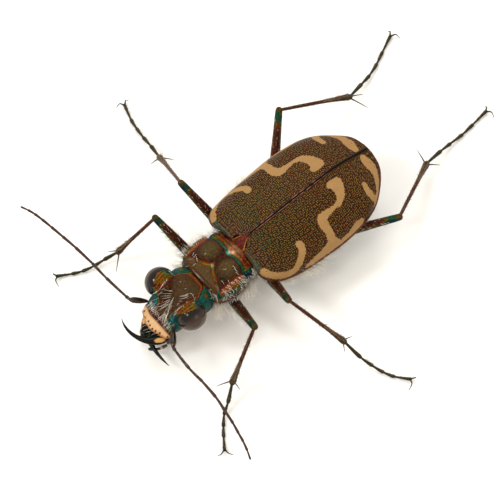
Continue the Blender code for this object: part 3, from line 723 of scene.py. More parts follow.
def make_head():
    grid = loft(HEAD_STATIONS, rows=250, columns=360, power=2.6)
    shell = Shell(raise_plates(grid), patch=(0.34, 0.02, 0.28, 0.28))
    x, y, z = split(shell.grid)
    across = np.abs(y)
    mirrored = np.stack([x, across, z], -1)
    eye_distance = np.linalg.norm(mirrored - EYE_CENTRE, axis=2)
    above = ease(-0.1, 0.3, z)
    behind = np.interp(across, *np.array(CROWN_REAR).T) - x
    plate = ease(0.52, 0.72, across) * ease(2.55, 2.75, x) * ease(3.8, 3.66, x) * above
    brow = -0.09 * hump(y, 0.3) * hump(x - 3.35, 0.35)
    striae = 0.008 * np.sin(across * 2 * math.pi / BROW_RIDGE) * ease(1.05, 0.74, eye_distance) * above
    seam = -0.035 * hump(x - 3.97 + 0.1 * np.cos(3 * y), 0.035)
    neck = -0.06 * hump(behind - 0.04, 0.05)
    socket = -0.06 * hump(np.linalg.norm(mirrored - SOCKET, axis=2), 0.1)
    grain = 0.003 * np.sin(60 * x + 3 * np.sin(14 * y)) * np.sin(52 * y)
    shell.press(above * (brow + seam + neck) + striae + socket + grain)
    streak = np.sin(across * 2 * math.pi / PLATE_STREAK + 1.8 * np.sin(4 * x))
    nape = ease(0.0, 0.07, behind)
    corner = ease(0.36, 0.16, np.hypot(x - 3.9, 0.8 * (across - 0.66)))
    shift = 0.05 + 0.3 * hump(behind + 0.07, 0.1) * above
    shift -= 0.02 * ease(3.25, 3.5, x) * ease(0.75, 0.35, across)
    shift += 0.1 * hump(across - 0.56, 0.13) * ease(2.7, 2.9, x) * ease(3.8, 3.5, x)
    shift += plate * (0.34 + 0.05 * streak - 0.26 * ease(3.45, 3.7, x))
    shift += 0.14 * spot(x - 3.6, across - 0.22, 0.11) + 0.3 * spot(x - 3.18, across - 0.44, 0.08)
    shift = shift * (1 - nape) + nape * (0.4 + 0.38 * ease(0.3, 0.7, across))
    shift += (0.82 - shift) * corner + 0.12 * ease(3.95, 4.05, x) * (1 - corner)
    shift -= 0.42 * spot(x - 2.18, across - 0.8, 0.1)
    shift += 0.2 * ease(0.1, -0.3, z)
    wild = 0.12 + 0.85 * plate + 0.26 * ease(3.1, 3.4, x) + 0.25 * nape
    mottled = 0.55 + 0.45 * np.sin(21 * y + 3 * np.sin(13 * x)) * np.sin(17 * x)
    gleam = stains(
        ((0.01, 0.13, 0.16), spot(x - 3.83, across - 0.51, 0.05)),
        ((0.3, 0.11, 0.01), spot(x - 3.95, across - 0.7, 0.04)),
        ((0.03, 0.024, 0.002), plate, ease(0.7, 0.95, across), 0.5 + 0.5 * streak),
        ((-0.03, -0.02, -0.006), plate, 0.5 - 0.5 * streak),
        ((0.12, 0.032, 0.003), hump(behind + 0.07, 0.07), above, mottled),
    )
    dress("head_shell", shell, shift, wild=wild, gleam=gleam).build(BODY_FINISH, "bronze_body", "head")
    return shell


HEAD = make_head()

# %% [markdown]
# ## Eyes
#
# A compound eye is a glossy dark ball of hundreds of tiny lenses. It is brown-black with a paler rim, where
# one looks along the lenses and not into them; that rim is a painted sheen, fixed on the ball's outer, lower
# side.
# The lenses are far smaller than anything else here, so they are a fine net of bumps in the finish, on a
# ball that is a mesh of rings round the eye's own axis.

# %% Eyes
EYE_DARK = (0.004, 0.002, 0.001)
EYE_PALE_SHEEN = (0.046, 0.024, 0.014)


def eye_finish():
    made = Finish("compound eye")
    lens = made.node("ShaderNodeTexVoronoi", None, {"Vector": made.place, "Scale": 24.0, "Randomness": 0.35})
    # Painted sheen: the rim field makes the eye paler on its outer, lower side, as grazing reflection would.
    rim = made.between(0.05, 0.95, made.field("rim") + made.noise(2.6, 3.0) * 0.5 - 0.25)
    return made.close(made.blend(rim, EYE_DARK, EYE_PALE_SHEEN), 0.0, 0.1, 0.3, (lens, 0.000005, 0.3))


def make_eyes():
    material = eye_finish()
    tilt = np.radians(np.linspace(0, 180, 60))[1:-1, None]
    turns = full_turn(96)
    reach = np.cos(tilt)
    reach = EYE_RADIUS * np.where(reach < 0, reach * 0.45, reach)
    radius = EYE_RADIUS * np.sin(tilt)
    local = np.stack([radius * np.cos(turns), reach + 0 * turns, radius * np.sin(turns)], -1)
    # The rim of painted sheen is fixed to the ball's outer, lower side and not to the view.
    rim = ease(-0.35, 0.85, (local[..., 1] - 0.45 * local[..., 2]) / EYE_RADIUS)
    for side in SIDES:
        piece = Piece("eye_ball_" + side)
        piece.body_skin(on_side(EYE_CENTRE + local, side), rim=rim)
        piece.build(material, "eye", "eye_" + side)


make_eyes()

# %% [markdown]
# ## Hind body
#
# Under the wing cases lie the thorax, dark copper and teal and furred at its sides, and the belly, whose
# rings overlap like roof tiles. Both are lofts that fill the solids' places. Each belly ring ends in a
# small step. The scutellum, a red metallic triangle with bright edges, sits between the bases of the wing
# cases.

# %% Sections of the hind body
THORAX_STATIONS = (
    (0.1, 0.95, -0.05, 0.4, -0.85),
    (-0.1, 1.16, -0.05, 0.52, -0.98),
    (-0.32, 1.38, -0.1, 0.5, -1.08),
    (-0.75, 1.75, -0.28, 0.42, -1.19),
    (-1.5, 2.08, -0.52, 0.1, -1.3),
    (-2.3, 2.3, -0.66, -0.06, -1.35),
    (-3.1, 2.34, -0.72, -0.12, -1.34),
)
BELLY_STATIONS = (
    (-2.9, 2.3, -0.72, -0.12, -1.28),
    (-3.9, 2.38, -0.74, -0.2, -1.22),
    (-5.1, 2.22, -0.7, -0.24, -1.02),
    (-5.95, 1.86, -0.62, -0.26, -0.86),
    (-6.6, 1.34, -0.52, -0.28, -0.7),
    (-6.98, 0.8, -0.44, -0.28, -0.58),
    (-7.14, 0.34, -0.38, -0.3, -0.48),
)
BELLY_RING_EDGES = (-3.75, -4.55, -5.3, -5.95, -6.5)
SCUTELLUM = ((-0.24, 0.42, 0.68), (-0.42, 0.29, 0.82), (-0.64, 0.16, 0.94), (-0.9, 0.02, 0.97))
print("belly rings:", len(BELLY_RING_EDGES) + 1)

# %% Thorax, scutellum and belly


def lined(values, columns, inside=0.0):
    """A field of an upper side, and one value for the columns of the side below it."""
    return np.concatenate([values, np.full((len(values), columns, *values.shape[2:]), inside)], axis=1)


def make_hind_body():
    grid = loft(THORAX_STATIONS, rows=110, columns=150, power=2.4)
    shell = Shell(grid, patch=(0.66, 0.02, 0.28, 0.28))
    x, y, z = split(shell.grid)
    below = ease(-0.2, -0.6, z)
    plates = -0.04 * hump(x + 1.75, 0.04) - 0.04 * hump(x + 0.55, 0.04) - 0.03 * hump(y, 0.03) * below
    shell.press(plates * below + 0.004 * np.sin(40 * x) * np.sin(31 * y))
    shift = 0.62 + 0.25 * np.sin(3.1 * x + 1.2) * below - 0.25 * hump(x + 0.3, 0.25)
    piece = dress("thorax_shell", shell, shift, gleam=0 * shell.grid)
    x, half_width, height = smooth(SCUTELLUM, 26).T[:, :, None]
    share = np.linspace(-1, 1, 25) + 0 * x
    bright = np.abs(share)
    height = height - 0.1 * bright**3 + 0.03 * (bright > 0.78)
    top = np.stack([x + 0 * share, half_width * share, height], -1)
    low = np.stack([x + 0 * share, -half_width * share, 0.3 + 0 * share], -1)
    # The orange of the raised edges is partly the scutellum's colour and partly a painted highlight on its
    # rims.
    sheen = stains(
        ((0.045, 0.004, 0.014), ease(0.75, 0.2, bright), 0.5 + 0.5 * np.sin(19 * x + 9 * share)),
        ((0.46, 0.2, 0.06), ease(0.74, 0.88, bright)),
    )
    piece.body_skin(np.concatenate([top, low], axis=1), shift=lined(0.24 + 0.1 * (bright > 0.74), 25, 0.9),
                    gleam=lined(sheen, 25))
    piece.build(BODY_FINISH, "copper_body", "thorax")
    return shell


def make_belly():
    grid = loft(BELLY_STATIONS, rows=130, columns=130, power=2.3)
    shell = Shell(grid, patch=(0.02, 0.34, 0.28, 0.28))
    x, y, z = split(shell.grid)
    below = ease(-0.3, -0.6, z)
    past = [x - edge for edge in BELLY_RING_EDGES]
    steps = sum(0.05 * ease(-0.02, 0.01, gap) * ease(0.55, 0, gap) for gap in past)
    shell.press(below * steps + 0.003 * np.sin(50 * x) * np.sin(37 * y))
    shift = 0.7 + 0.16 * sum(hump(gap - 0.05, 0.07) for gap in past)
    dress("belly_shell", shell, shift).build(BELLY_FINISH, "dark_belly", "abdomen")
    return shell


THORAX = make_hind_body()
BELLY = make_belly()

# %% [markdown]
# ## Wing cases
#
# The elytra are two stiff shells that meet in a straight seam. Each is lofted from half sections: an outer
# arc from the rim to the seam, and an inner one a tenth of a millimetre below, so that it is a true shell.
# The cream scrolls are chains of soft circles that run over the shell: their places and radii are in
# millimetres, and the mesh carries the distance to the nearest one. The finish then draws the edge, a
# little ragged, at distance nought.

# %% The shape of the wing cases
ELYTRA_STATIONS = (
    (-0.08, 1.48, 0.42, 0.82),
    (-0.14, 1.74, 0.37, 0.87),
    (-0.34, 2.01, 0.24, 0.91),
    (-0.7, 2.19, 0.05, 0.93),
    (-1.5, 2.35, -0.2, 0.91),
    (-2.6, 2.44, -0.35, 0.87),
    (-3.9, 2.49, -0.42, 0.81),
    (-5.1, 2.37, -0.46, 0.7),
    (-5.95, 2.09, -0.46, 0.48),
    (-6.6, 1.61, -0.41, 0.19),
    (-7.03, 1.16, -0.34, -0.01),
    (-7.25, 0.78, -0.26, -0.09),
    (-7.37, 0.28, -0.2, -0.13),
)
SHELL_POWER = 2.3
ELYTRA_SHIFT = 0.03
SHELL_DEPTH = 0.11
SEAM_HALF_GAP = 0.008
OUTER_COLUMNS = 96
INNER_COLUMNS = 24


def elytron_arcs(rows):
    """The outer arc and the inner one of every section, from rim to seam and back, on the left."""
    x, half_width, rim, top = smooth(ELYTRA_STATIONS, rows).T[:, :, None]
    bend = 2 / SHELL_POWER
    gap = SEAM_HALF_GAP + 0.36 * ease(-0.9, -0.25, x)
    arcs = []
    for start, end, columns, depth in ((0, 90, OUTER_COLUMNS, 0), (90, 0, INNER_COLUMNS, SHELL_DEPTH)):
        turn = np.radians(np.linspace(start, end, columns))
        depth = np.minimum(depth, 0.4 * half_width)
        y = np.maximum((half_width - depth) * np.cos(turn) ** bend, gap)
        z = rim + np.maximum(top - depth - rim, 0.02) * np.sin(turn) ** bend
        arcs.append(np.stack([x - 0.12 * ease(1.4, 0.7, y) * ease(-0.8, -0.1, x), y, z], -1))
    return arcs


def shell_top(x, y):
    """The height of the outer surface over a place of the body."""
    stations = np.array(ELYTRA_STATIONS)[::-1]
    half_width, rim, top = (np.interp(x, stations[:, 0], stations[:, k]) for k in (1, 2, 3))
    share = np.clip(y / half_width, 0, 1)
    return rim + (top - rim) * (1 - share**SHELL_POWER) ** (1 / SHELL_POWER)


print(f"height at the seam, 4 mm back: {shell_top(-4.0, 0.0):.2f} mm over the body's axis")

# %% The cream scrolls
SCROLLS = (
    # each a chain of (forward, outward, radius) in mm: the shoulder spot and its hook, the strip along the
    # edge before the middle band and behind it, the winding middle band, the lobe that squares its end, the
    # finger before the tip, and the band round the tip
    ((-0.26, 1.61, 0.155), (-0.45, 1.9, 0.15), (-0.72, 2.1, 0.17), (-1.0, 2.2, 0.16), (-1.3, 2.25, 0.15),
     (-1.6, 2.21, 0.14), (-1.88, 2.09, 0.145), (-2.12, 1.9, 0.155), (-2.19, 1.73, 0.16),
     (-2.18, 1.64, 0.155)),
    ((-1.95, 2.37, 0.11), (-2.2, 2.38, 0.15), (-2.5, 2.395, 0.19), (-2.78, 2.4, 0.22), (-3.05, 2.4, 0.245),
     (-3.25, 2.395, 0.28), (-3.45, 2.4, 0.27)),
    ((-3.45, 2.42, 0.2), (-3.65, 2.46, 0.13), (-3.9, 2.46, 0.15), (-4.15, 2.44, 0.15), (-4.4, 2.405, 0.185),
     (-4.6, 2.375, 0.21), (-4.8, 2.35, 0.21), (-4.93, 2.34, 0.19)),
    ((-3.38, 2.34, 0.2), (-3.47, 2.15, 0.19), (-3.52, 1.97, 0.175), (-3.52, 1.79, 0.19), (-3.54, 1.62, 0.21),
     (-3.63, 1.44, 0.205), (-3.8, 1.37, 0.175), (-4.0, 1.37, 0.135), (-4.2, 1.37, 0.1), (-4.38, 1.36, 0.085),
     (-4.55, 1.34, 0.105), (-4.74, 1.27, 0.135), (-4.9, 1.12, 0.18), (-5.01, 0.93, 0.22),
     (-5.07, 0.73, 0.27), (-5.1, 0.66, 0.28)),
    ((-4.87, 0.52, 0.165), (-5.04, 0.56, 0.21), (-5.22, 0.54, 0.17)),
    ((-6.05, 1.32, 0.12), (-6.0, 1.55, 0.135), (-6.01, 1.78, 0.155), (-6.04, 2.0, 0.13)),
    ((-5.8, 2.16, 0.06), (-6.05, 1.99, 0.12), (-6.3, 1.8, 0.12), (-6.5, 1.6, 0.12), (-6.66, 1.38, 0.13),
     (-6.78, 1.16, 0.15), (-6.85, 0.95, 0.18), (-6.87, 0.74, 0.22), (-6.87, 0.52, 0.22), (-6.88, 0.34, 0.17),
     (-6.9, 0.25, 0.14)),
)
CREAM_DOTS = ((-0.36, 1.66), (-6.98, 0.6), (-6.98, 0.84))


print("cream:", len(SCROLLS), "chains of", sum(len(chain) for chain in SCROLLS), "circles")

# %% Distance to the cream


def scroll_distance(points, wider=0.0):
    """How far each place is outside the cream, below nought inside it. The two edge strips may be wider."""
    nearest = np.full(points.shape[:-1], 9.0)
    for number, chain in enumerate(SCROLLS):
        x, y, radius = np.array(chain).T
        knots = np.stack([x, y, shell_top(x, y), radius + wider * (number in (1, 2))], -1)
        knots = smooth(knots, 6 * len(chain))
        for a, b in zip(knots, knots[1:]):
            run = b[:3] - a[:3]
            share = np.clip(((points - a[:3]) @ run) / (run @ run + 1e-9), 0, 1)
            gap = np.linalg.norm(points - a[:3] - share[..., None] * run, axis=-1)
            nearest = np.minimum(nearest, gap - (a[3] + share * (b[3] - a[3])))
    return nearest


def dot_distance(points):
    return np.min([np.linalg.norm(points - (x, y, shell_top(x, y)), axis=-1) for x, y in CREAM_DOTS], axis=0)

# %% [markdown]
# Between the scrolls the shell is brown, and each of its thousands of pits reflects gold, green or teal. A
# flat cell pattern gives one pit to a cell. It runs over a map of the shell, forward and across along the
# arc, so that the pits keep their size on the slopes.

# %% Colours of the wing cases
PITS_PER_MM = 11.4
PIT_STOPS = (
    (0.24, (0.21, 0.04, 0.009)),
    (0.38, (0.225, 0.1, 0.014)),
    (0.54, (0.2, 0.124, 0.02)),
    (0.66, (0.09, 0.124, 0.024)),
    (0.8, (0.01, 0.105, 0.065)),
)
CREAM = (0.28, 0.15, 0.048)
CREAM_PALE = (0.35, 0.2, 0.076)
RED_BROWN = (0.085, 0.022, 0.005)
SHELL_DARK = (0.016, 0.006, 0.002)
SHELL_LIGHT = (0.026, 0.011, 0.003)
SHELL_PURPLE = (0.04, 0.008, 0.012)
# Pink of the seam's bead: partly coppery colour, partly a painted highlight.
SEAM_PINK_SHEEN = (0.32, 0.13, 0.1)
SEAM_BLACK = (0.008, 0.008, 0.006)
DOT_BROWN = (0.1, 0.035, 0.01)

# %% The finish of the wing cases


def elytra_finish():
    made = Finish("pitted wing case", "spread")
    flat = {"noise_dimensions": "2D"}
    wander = made.node("ShaderNodeTexNoise", flat, {"Vector": made.place, "Scale": 3.0, "Detail": 1.0}, 1)
    flat = {"voronoi_dimensions": "2D"}
    cells = {"Vector": made.place + wander * 0.06, "Scale": PITS_PER_MM, "Randomness": 0.6}
    cell, own = (made.node("ShaderNodeTexVoronoi", flat, cells, output) for output in (0, 1))
    own = made.node("ShaderNodeSeparateColor", None, {"Color": own})
    edge_noise = made.noise(6.0) - 0.5
    fine_noise = made.noise(26.0, 1.0) - 0.5
    rim = made.field("rim")
    seam = made.field("seam")
    mark = made.field("mark") + edge_noise * 0.06 + fine_noise * 0.03 + (0.35 - cell) * 0.09
    cream = made.between(0.014, -0.014, mark)
    border = made.between(0.085, 0.03, mark)
    open_shell = (1.0 - border * 0.8) * made.between(0.1, 0.15, rim) * made.between(0.05, 0.11, seam)
    pit = made.between(0.38, 0.16, cell) * open_shell
    hue = made.noise(7.0, 2.0, 0.7) * 0.6 + made.noise(1.3, 1.0) * 0.2
    hue = hue + own * 0.34 + made.field("tint") - 0.14
    brown = made.blend(made.noise(1.5), SHELL_DARK, SHELL_LIGHT)
    brown = made.blend(made.field("purple") * 0.7, brown, SHELL_PURPLE)
    glow = made.ramp(made.field("glow") + edge_noise * 0.22, SHIFT_STOPS)
    mottled = made.between(0.3, 0.62, made.noise(12.0))
    brown = made.blend(made.between(0.1, 0.8, made.field("base")) * (mottled * 0.65 + 0.1), brown, glow)
    shell = made.blend(pit, brown, made.ramp(hue, PIT_STOPS))
    # Painted highlight: a pink line on the inner slope of the seam's raised bead, partly coppery colour.
    pink = made.between(0.062, 0.045, seam) * made.between(0.022, 0.036, seam) * made.field("pink")
    shell = made.blend(pink * made.between(0.35, 0.6, made.noise(5.0)), shell, SEAM_PINK_SHEEN)
    shell = made.blend(made.between(0.034, 0.016, seam), shell, SEAM_BLACK)
    pale = made.blend(made.noise(4.0, 3.0), CREAM, CREAM_PALE) * (1.0 - made.between(0.24, 0.1, cell) * 0.16)
    pale = made.blend(made.between(0.035, 0.015, made.field("dots")), pale, DOT_BROWN)
    edge = made.between(0.12, 0.09, rim + fine_noise * 0.02)
    colour = made.blend(edge, made.blend(cream, shell, pale), RED_BROWN)
    rough = cream * 0.1 + 0.38 + made.noise(30.0) * 0.08
    metal = (1.0 - cream) * 0.45 * (1.0 - edge * 0.6)
    height = pit * -1.0 + made.noise(40.0) * 0.12
    return made.close(colour, metal, rough, 0.12, (height, 0.00003, 0.7))

# %% The two wing cases
ELYTRON_ROWS = 230
SHOULDER = (-0.95, 1.5)
RIGHT_STRIP_WIDER = 0.12
RIGHT_PITS_SHIFT = 7.3
INSIDE = {"dots": 1.0, "mark": 1.0}


def make_elytra():
    material = elytra_finish()
    outer, inner = elytron_arcs(ELYTRON_ROWS)
    arc = np.linalg.norm(np.diff(outer, axis=1), axis=2)
    from_rim = np.concatenate([np.zeros((len(outer), 1)), np.cumsum(arc, axis=1)], axis=1)
    x, y, z = split(outer)
    seam = np.maximum(y - SEAM_HALF_GAP, 0)
    lift = 0.03 * hump(seam - 0.055, 0.035) + 0.05 * spot(x - SHOULDER[0], y - SHOULDER[1], 0.32)
    lift += 0.025 * hump(from_rim, 0.05) - 0.02 * hump(from_rim - 0.14, 0.05)
    lift -= 0.03 * spot(x + 0.62, y - 0.85, 0.3)
    normals = unit(np.cross(np.gradient(outer, axis=1), np.gradient(outer, axis=0)))
    normals *= np.sign(normals[..., 2].mean())
    outer = outer + normals * (lift * ease(0.2, 1.2, from_rim.max(axis=1))[:, None])[..., None]
    fields = {
        "dots": dot_distance(outer),
        "rim": from_rim,
        "seam": seam,
        "base": ease(-0.36, -0.2, x),
        "purple": ease(-1.3, -0.45, x) * ease(2.0, 0.6, y),
        "glow": 0.23 + 0.62 * ease(-0.36, -0.24, x) * ease(0.45, 0.65, y),
        "tint": 0.16 * ease(-4.5, -0.8, x) * ease(2.2, 0.9, y) - 0.03,
        # Where along the seam the pink line, partly a painted highlight, is drawn.
        "pink": ease(-5.6, -4.2, x) * ease(-0.8, -1.4, x),
        "spread": np.stack([x, from_rim, 0 * x], -1),
    }
    for side, sign in SIDES.items():
        fields["mark"] = scroll_distance(outer, 0.0 if sign > 0 else RIGHT_STRIP_WIDER)
        both = {key: lined(values, INNER_COLUMNS, INSIDE.get(key, 0.0)) for key, values in fields.items()}
        both["spread"] += (0, 0 if sign > 0 else RIGHT_PITS_SHIFT, 0)
        grid = on_side(np.concatenate([outer, inner], axis=1), side)
        piece = Piece("wing_case_" + side)
        piece.skin(over_floor(grid + (0, ELYTRA_SHIFT, 0)), grid, **both)
        piece.build(material, "elytra", "elytron_" + side)


make_elytra()

# %% [markdown]
# ## Upper lip
#
# The labrum is a cream plate over the roots of the mandibles. Its front edge is bowed, with a small tooth
# in the middle, and a row of dark pits near the edge holds its bristles. It is a grid of places, thin at
# the front, with the pits pressed in and coloured by the distance to them.

# %% Places and finish of the labrum
LABRUM_BACK = 4.24
LABRUM_MIDDLE = 0.01
LABRUM_HALF = 0.88
SCALLOP = 0.19
LABRUM_FRONT = ((0.0, 4.72), (0.27, 4.69), (0.43, 4.62), (0.65, 4.565), (0.8, 4.49), (0.88, 4.36))
LABRUM_PITS = ((4.37, -0.69), (4.55, -0.2), (4.61, -0.03), (4.64, 0.15), (4.6, 0.31), (4.53, 0.5),
               (4.4, 0.84))
LABRUM_HORN = (
    "cream lip", (9.0, 3.0), (0.48, 0.28, 0.115), (0.64, 0.41, 0.2),
    (("edge", 0.1, 0.0, 1.0, (0.3, 0.1, 0.03)), ("dots", 0.06, 0.03, 1.0, (0.07, 0.022, 0.006)),
     ("rear", 0.15, 0.095, 0.7, (0.42, 0.15, 0.04)), ("rear", 0.095, 0.06, 1.0, (0.05, 0.01, 0.004))),
    (0.0, 0.42, 0.3), (30.0, 3.0, 0.00002, 0.4),
)

# %% Labrum


def make_labrum():
    rows = np.linspace(-1, 1, 97)[:, None]
    share = np.linspace(0, 1, 40)[None, :]
    y = LABRUM_MIDDLE + LABRUM_HALF * rows
    front = np.interp(LABRUM_HALF * np.abs(rows), *np.array(LABRUM_FRONT).T) + 0.02 * hump(y - 0.06, 0.05)
    front -= 0.07 * hump(y + 0.43, 0.06)
    bow = front - LABRUM_BACK + 0.07 * ease(-0.4, -1.0, rows)
    x = front - bow * (1 - share) - 0.08 * ease(-0.3, -1.0, rows)
    crown = -0.1 - 0.1 * rows**2 - 0.17 * share**1.6 + 0.03 * np.sin(math.pi * share)
    scallop = 0.012 * np.cos(y * 2 * math.pi / SCALLOP) * share**4
    top = np.stack([x + scallop, y + 0 * x, crown], -1)
    dots = np.min([np.hypot(top[..., 0] - a, top[..., 1] - b) for a, b in LABRUM_PITS], axis=0)
    top[..., 2] -= 0.022 * hump(dots, 0.03)
    low = top[:, ::-1].copy()
    low[..., 2] -= 0.02 + 0.12 * (1 - share[:, ::-1])
    grid = np.concatenate([top, low], axis=1)
    piece = Piece("labrum_plate")
    edge, rear = (lined(bow * part, 40) for part in (1 - share, share))
    piece.body_skin(grid, dots=lined(dots, 40, 1.0), edge=edge, rear=rear)
    piece.build(horn(*LABRUM_HORN), "cream_horn", "labrum")


make_labrum()

# %% [markdown]
# ## Mandibles
#
# Each mandible is a long black sickle, broad and flat at its root, with a cream patch outside and strong
# teeth inside. The left one crosses over the right. A curve of four guides gives its line, and its width
# falls off towards the tip. The teeth are curved thorns sunk in its inner side.

# %% Curves of the mandibles
MANDIBLES = {
    "left": ((4.24, 0.56, -0.62), (5.02, 0.84, -0.46), (5.72, -0.24, -0.28), (5.28, -1.08, -0.28)),
    "right": ((4.24, -0.46, -0.72), (4.86, -0.52, -0.9), (5.15, 0.6, -0.98), (5.05, 1.63, -0.9)),
}
MANDIBLE_WIDTHS = ((0.26,), (0.265,), (0.23,), (0.18,), (0.135,), (0.1,), (0.075,), (0.05,), (0.012,))
MANDIBLE_TEETH = ((0.2, 0.34, 0.11), (0.34, 0.4, 0.1), (0.48, 0.32, 0.075))
MANDIBLE_BLADE = ((4.26, 0.26, -0.76), (4.5, 0.27, -0.76), (4.72, 0.2, -0.74), (4.92, 0.1, -0.72))
LOWER_LIP = ((4.05, 0.02, -0.86), (4.35, 0.02, -0.9), (4.72, 0.02, -0.92))
CREAM_PATCHES = {"left": ((4.71, 0.68, -0.42), 0.24, 0.095), "right": ((4.56, -0.54, -0.58), 0.2, 0.1)}
BLACK_GREEN = (0.004, 0.005, 0.004)
PATCH_COSINE = 0.884
PATCH_SINE = 0.468
PATCH_HALF_HEIGHT = 0.25

# %% Mandibles


def mandible_finish():
    made = Finish("black sickle")
    dark = made.blend(made.noise(2.5), BLACK_GREEN, (0.005, 0.008, 0.004))
    dark = made.blend(made.field("tip"), dark, (0.035, 0.01, 0.004))
    patch = made.between(0.04, -0.04, made.field("patch") + (made.noise(9.0) - 0.5) * 0.1)
    scratch = made.noise(14.0, 3.0, place=made.place * (1.0, 1.0, 4.0))
    return made.close(made.blend(patch, dark, (0.56, 0.3, 0.1)), 0.0, 0.16, 0.08, (scratch, 0.000015, 0.5))


def make_mandibles():
    material = mandible_finish()
    plain = {"patch": 1.0, "tip": 0.0}
    for side, sign in SIDES.items():
        controls = MANDIBLES[side]
        rings = rod(bezier(controls, np.linspace(0, 1, 70)), smooth(MANDIBLE_WIDTHS, 70)[:, 0], 26, 0.62)
        centre, half_length, half_width = CREAM_PATCHES[side]
        gap_x, gap_y, gap_z = split((rings - centre) * (1, sign, 1))
        long_way = (PATCH_COSINE * gap_x - PATCH_SINE * gap_y) / half_length
        wide_way = (PATCH_SINE * gap_x + PATCH_COSINE * gap_y) / half_width
        reach = np.sqrt(long_way**2 + wide_way**2 + (gap_z / PATCH_HALF_HEIGHT) ** 2) - 1
        piece = Piece("mandible_sickle_" + side)
        piece.body_skin(rings, patch=reach * 0.2, tip=ease(0.72, 1.0, row_shares(rings)))
        blade = on_side(MANDIBLE_BLADE, side)
        piece.body_skin(tapered(blade, 18, wide=0.32, narrow=0.16, sides=20, flat=0.36), **plain)
        for share, length, radius in MANDIBLE_TEETH:
            here, ahead = bezier(controls, [share, share + 0.02])
            ahead = unit(ahead - here)
            inward = np.array((ahead[1] * sign, -ahead[0] * sign, 0.05))
            aims = (inward * 0.3, inward + ahead * 0.18, inward + ahead * 0.75)
            tooth = smooth([here, *(here + aim * length for aim in aims)], 16)
            piece.body_skin(rod(tooth, np.linspace(1, 0.08, 16) ** 0.8 * radius, 14, 0.8), **plain)
        piece.build(material, "mandible", "mandible_" + side)
    piece = Piece("lower_lip")
    piece.body_skin(tapered(LOWER_LIP, 14, wide=0.42, narrow=0.26, sides=24, flat=0.42), **plain)
    piece.build(material, "mandible")


make_mandibles()

# %% [markdown]
# ## Jointed rods
#
# Palps, feelers and feet are chains of small clubs: narrow where each starts and widest just before it
# ends. One function draws such a chain through its joints, and each club carries its own share for colour.

# %% Chains of clubs
CLUB_SHAPE = ((0.0, 0.62), (0.12, 0.7), (0.6, 0.92), (0.9, 1.0), (1.0, 0.8))


def club_chain(piece, joints, radii, shape=CLUB_SHAPE, sides=16, flat=1.0):
    """Add a chain of clubs through the joints, over the floor, one radius to a club."""
    joints = np.asarray(joints, float)
    share, size = smooth(shape, 13).T
    share = np.clip(share, 0, 1)
    for number, (start, end, radius) in enumerate(zip(joints, joints[1:], radii)):
        around = [joints[max(number - 1, 0)], start, end, joints[min(number + 2, len(joints) - 1)]]
        path = smooth(around, 37)[12:25]
        path = np.stack([np.interp(share, np.linspace(0, 1, 13), column) for column in path.T], -1)
        rings = rod(path, size * radius, sides, flat)
        piece.skin(rings, along=row_shares(rings), club=float(number))

# %% Palps
PALPS = {
    "left": ((4.26, 0.66, -1.05), (4.42, 0.75, -1.2), (4.72, 0.69, -1.22), (4.96, 0.57, -1.22),
             (5.12, 0.4, -1.2)),
    "right": ((4.26, -0.6, -1.1), (4.45, -0.66, -1.3), (4.7, -0.6, -1.4), (4.9, -0.42, -1.42),
              (5.0, -0.2, -1.42)),
}
LIP_PALPS = ((4.05, 0.22, -1.02), (4.3, 0.3, -1.3), (4.62, 0.34, -1.4), (4.84, 0.26, -1.44))
PALP_HORN = (
    "palp horn", (8.0,), (0.01, 0.028, 0.022), (0.11, 0.036, 0.012),
    (("along", 0.62, 0.85, 1.0, (0.46, 0.4, 0.3)), ("club", 2.6, 2.9, 1.0, (0.014, 0.03, 0.022))),
    (0.1, 0.3, 0.4), (30.0, 2.0, 0.00001, 0.5),
)


def make_palps():
    material = horn(*PALP_HORN)
    for side in SIDES:
        piece = Piece("palp_chain_" + side)
        club_chain(piece, over_floor(PALPS[side]), (0.078, 0.078, 0.07, 0.072))
        club_chain(piece, over_floor(on_side(LIP_PALPS, side)), (0.05, 0.055, 0.06))
        piece.build(material, "palp", "palp_" + side)


make_palps()

# %% [markdown]
# ## Feelers
#
# A feeler has eleven segments: a stout first one, a bead, two long dark metallic ones, and seven that are
# dull with fine down. They are thinner than the solids, which keep a stout core for handling, and follow
# the same line.

# %% Joints of the feelers
SCAPE_ROOT = (4.06, 0.85, 0.06)
FEELER_JOINTS = {
    "left": ((1.85, -8.32, 1.86), (2.1, -8.43, 1.97), (3.17, -8.57, 2.15), (4.02, -8.59, 2.31),
             (4.97, -8.66, 2.43), (5.69, -8.79, 2.5), (6.35, -8.91, 2.53), (6.84, -9.03, 2.54),
             (7.24, -9.12, 2.52), (7.63, -9.24, 2.48), (7.99, -9.38, 2.43)),
    "right": ((-0.78, -8.39, 2.17), (-1.06, -8.43, 2.12), (-2.19, -8.55, 2.25), (-3.05, -8.59, 2.36),
              (-4.02, -8.68, 2.45), (-4.74, -8.78, 2.51), (-5.38, -8.86, 2.52), (-5.9, -8.93, 2.52),
              (-6.31, -8.99, 2.48), (-6.66, -9.06, 2.4), (-7.0, -9.16, 2.31)),
}
SEGMENT_RADII = (0.128, 0.078, 0.072, 0.07, 0.072, 0.07, 0.068, 0.066, 0.064, 0.06, 0.05)
SEGMENT_SHAPE = ((0.0, 0.6), (0.1, 0.74), (0.7, 0.9), (0.93, 1.0), (1.0, 0.78))
SCAPE_SHAPE = ((0.0, 0.46), (0.12, 0.62), (0.45, 0.96), (0.8, 1.0), (1.0, 0.7))
DARK_SEGMENTS = 4
DARK_LIMB_STOPS = ((0.35, (0.004, 0.008, 0.006)), (0.5, (0.02, 0.012, 0.006)), (0.65, (0.09, 0.03, 0.02)))
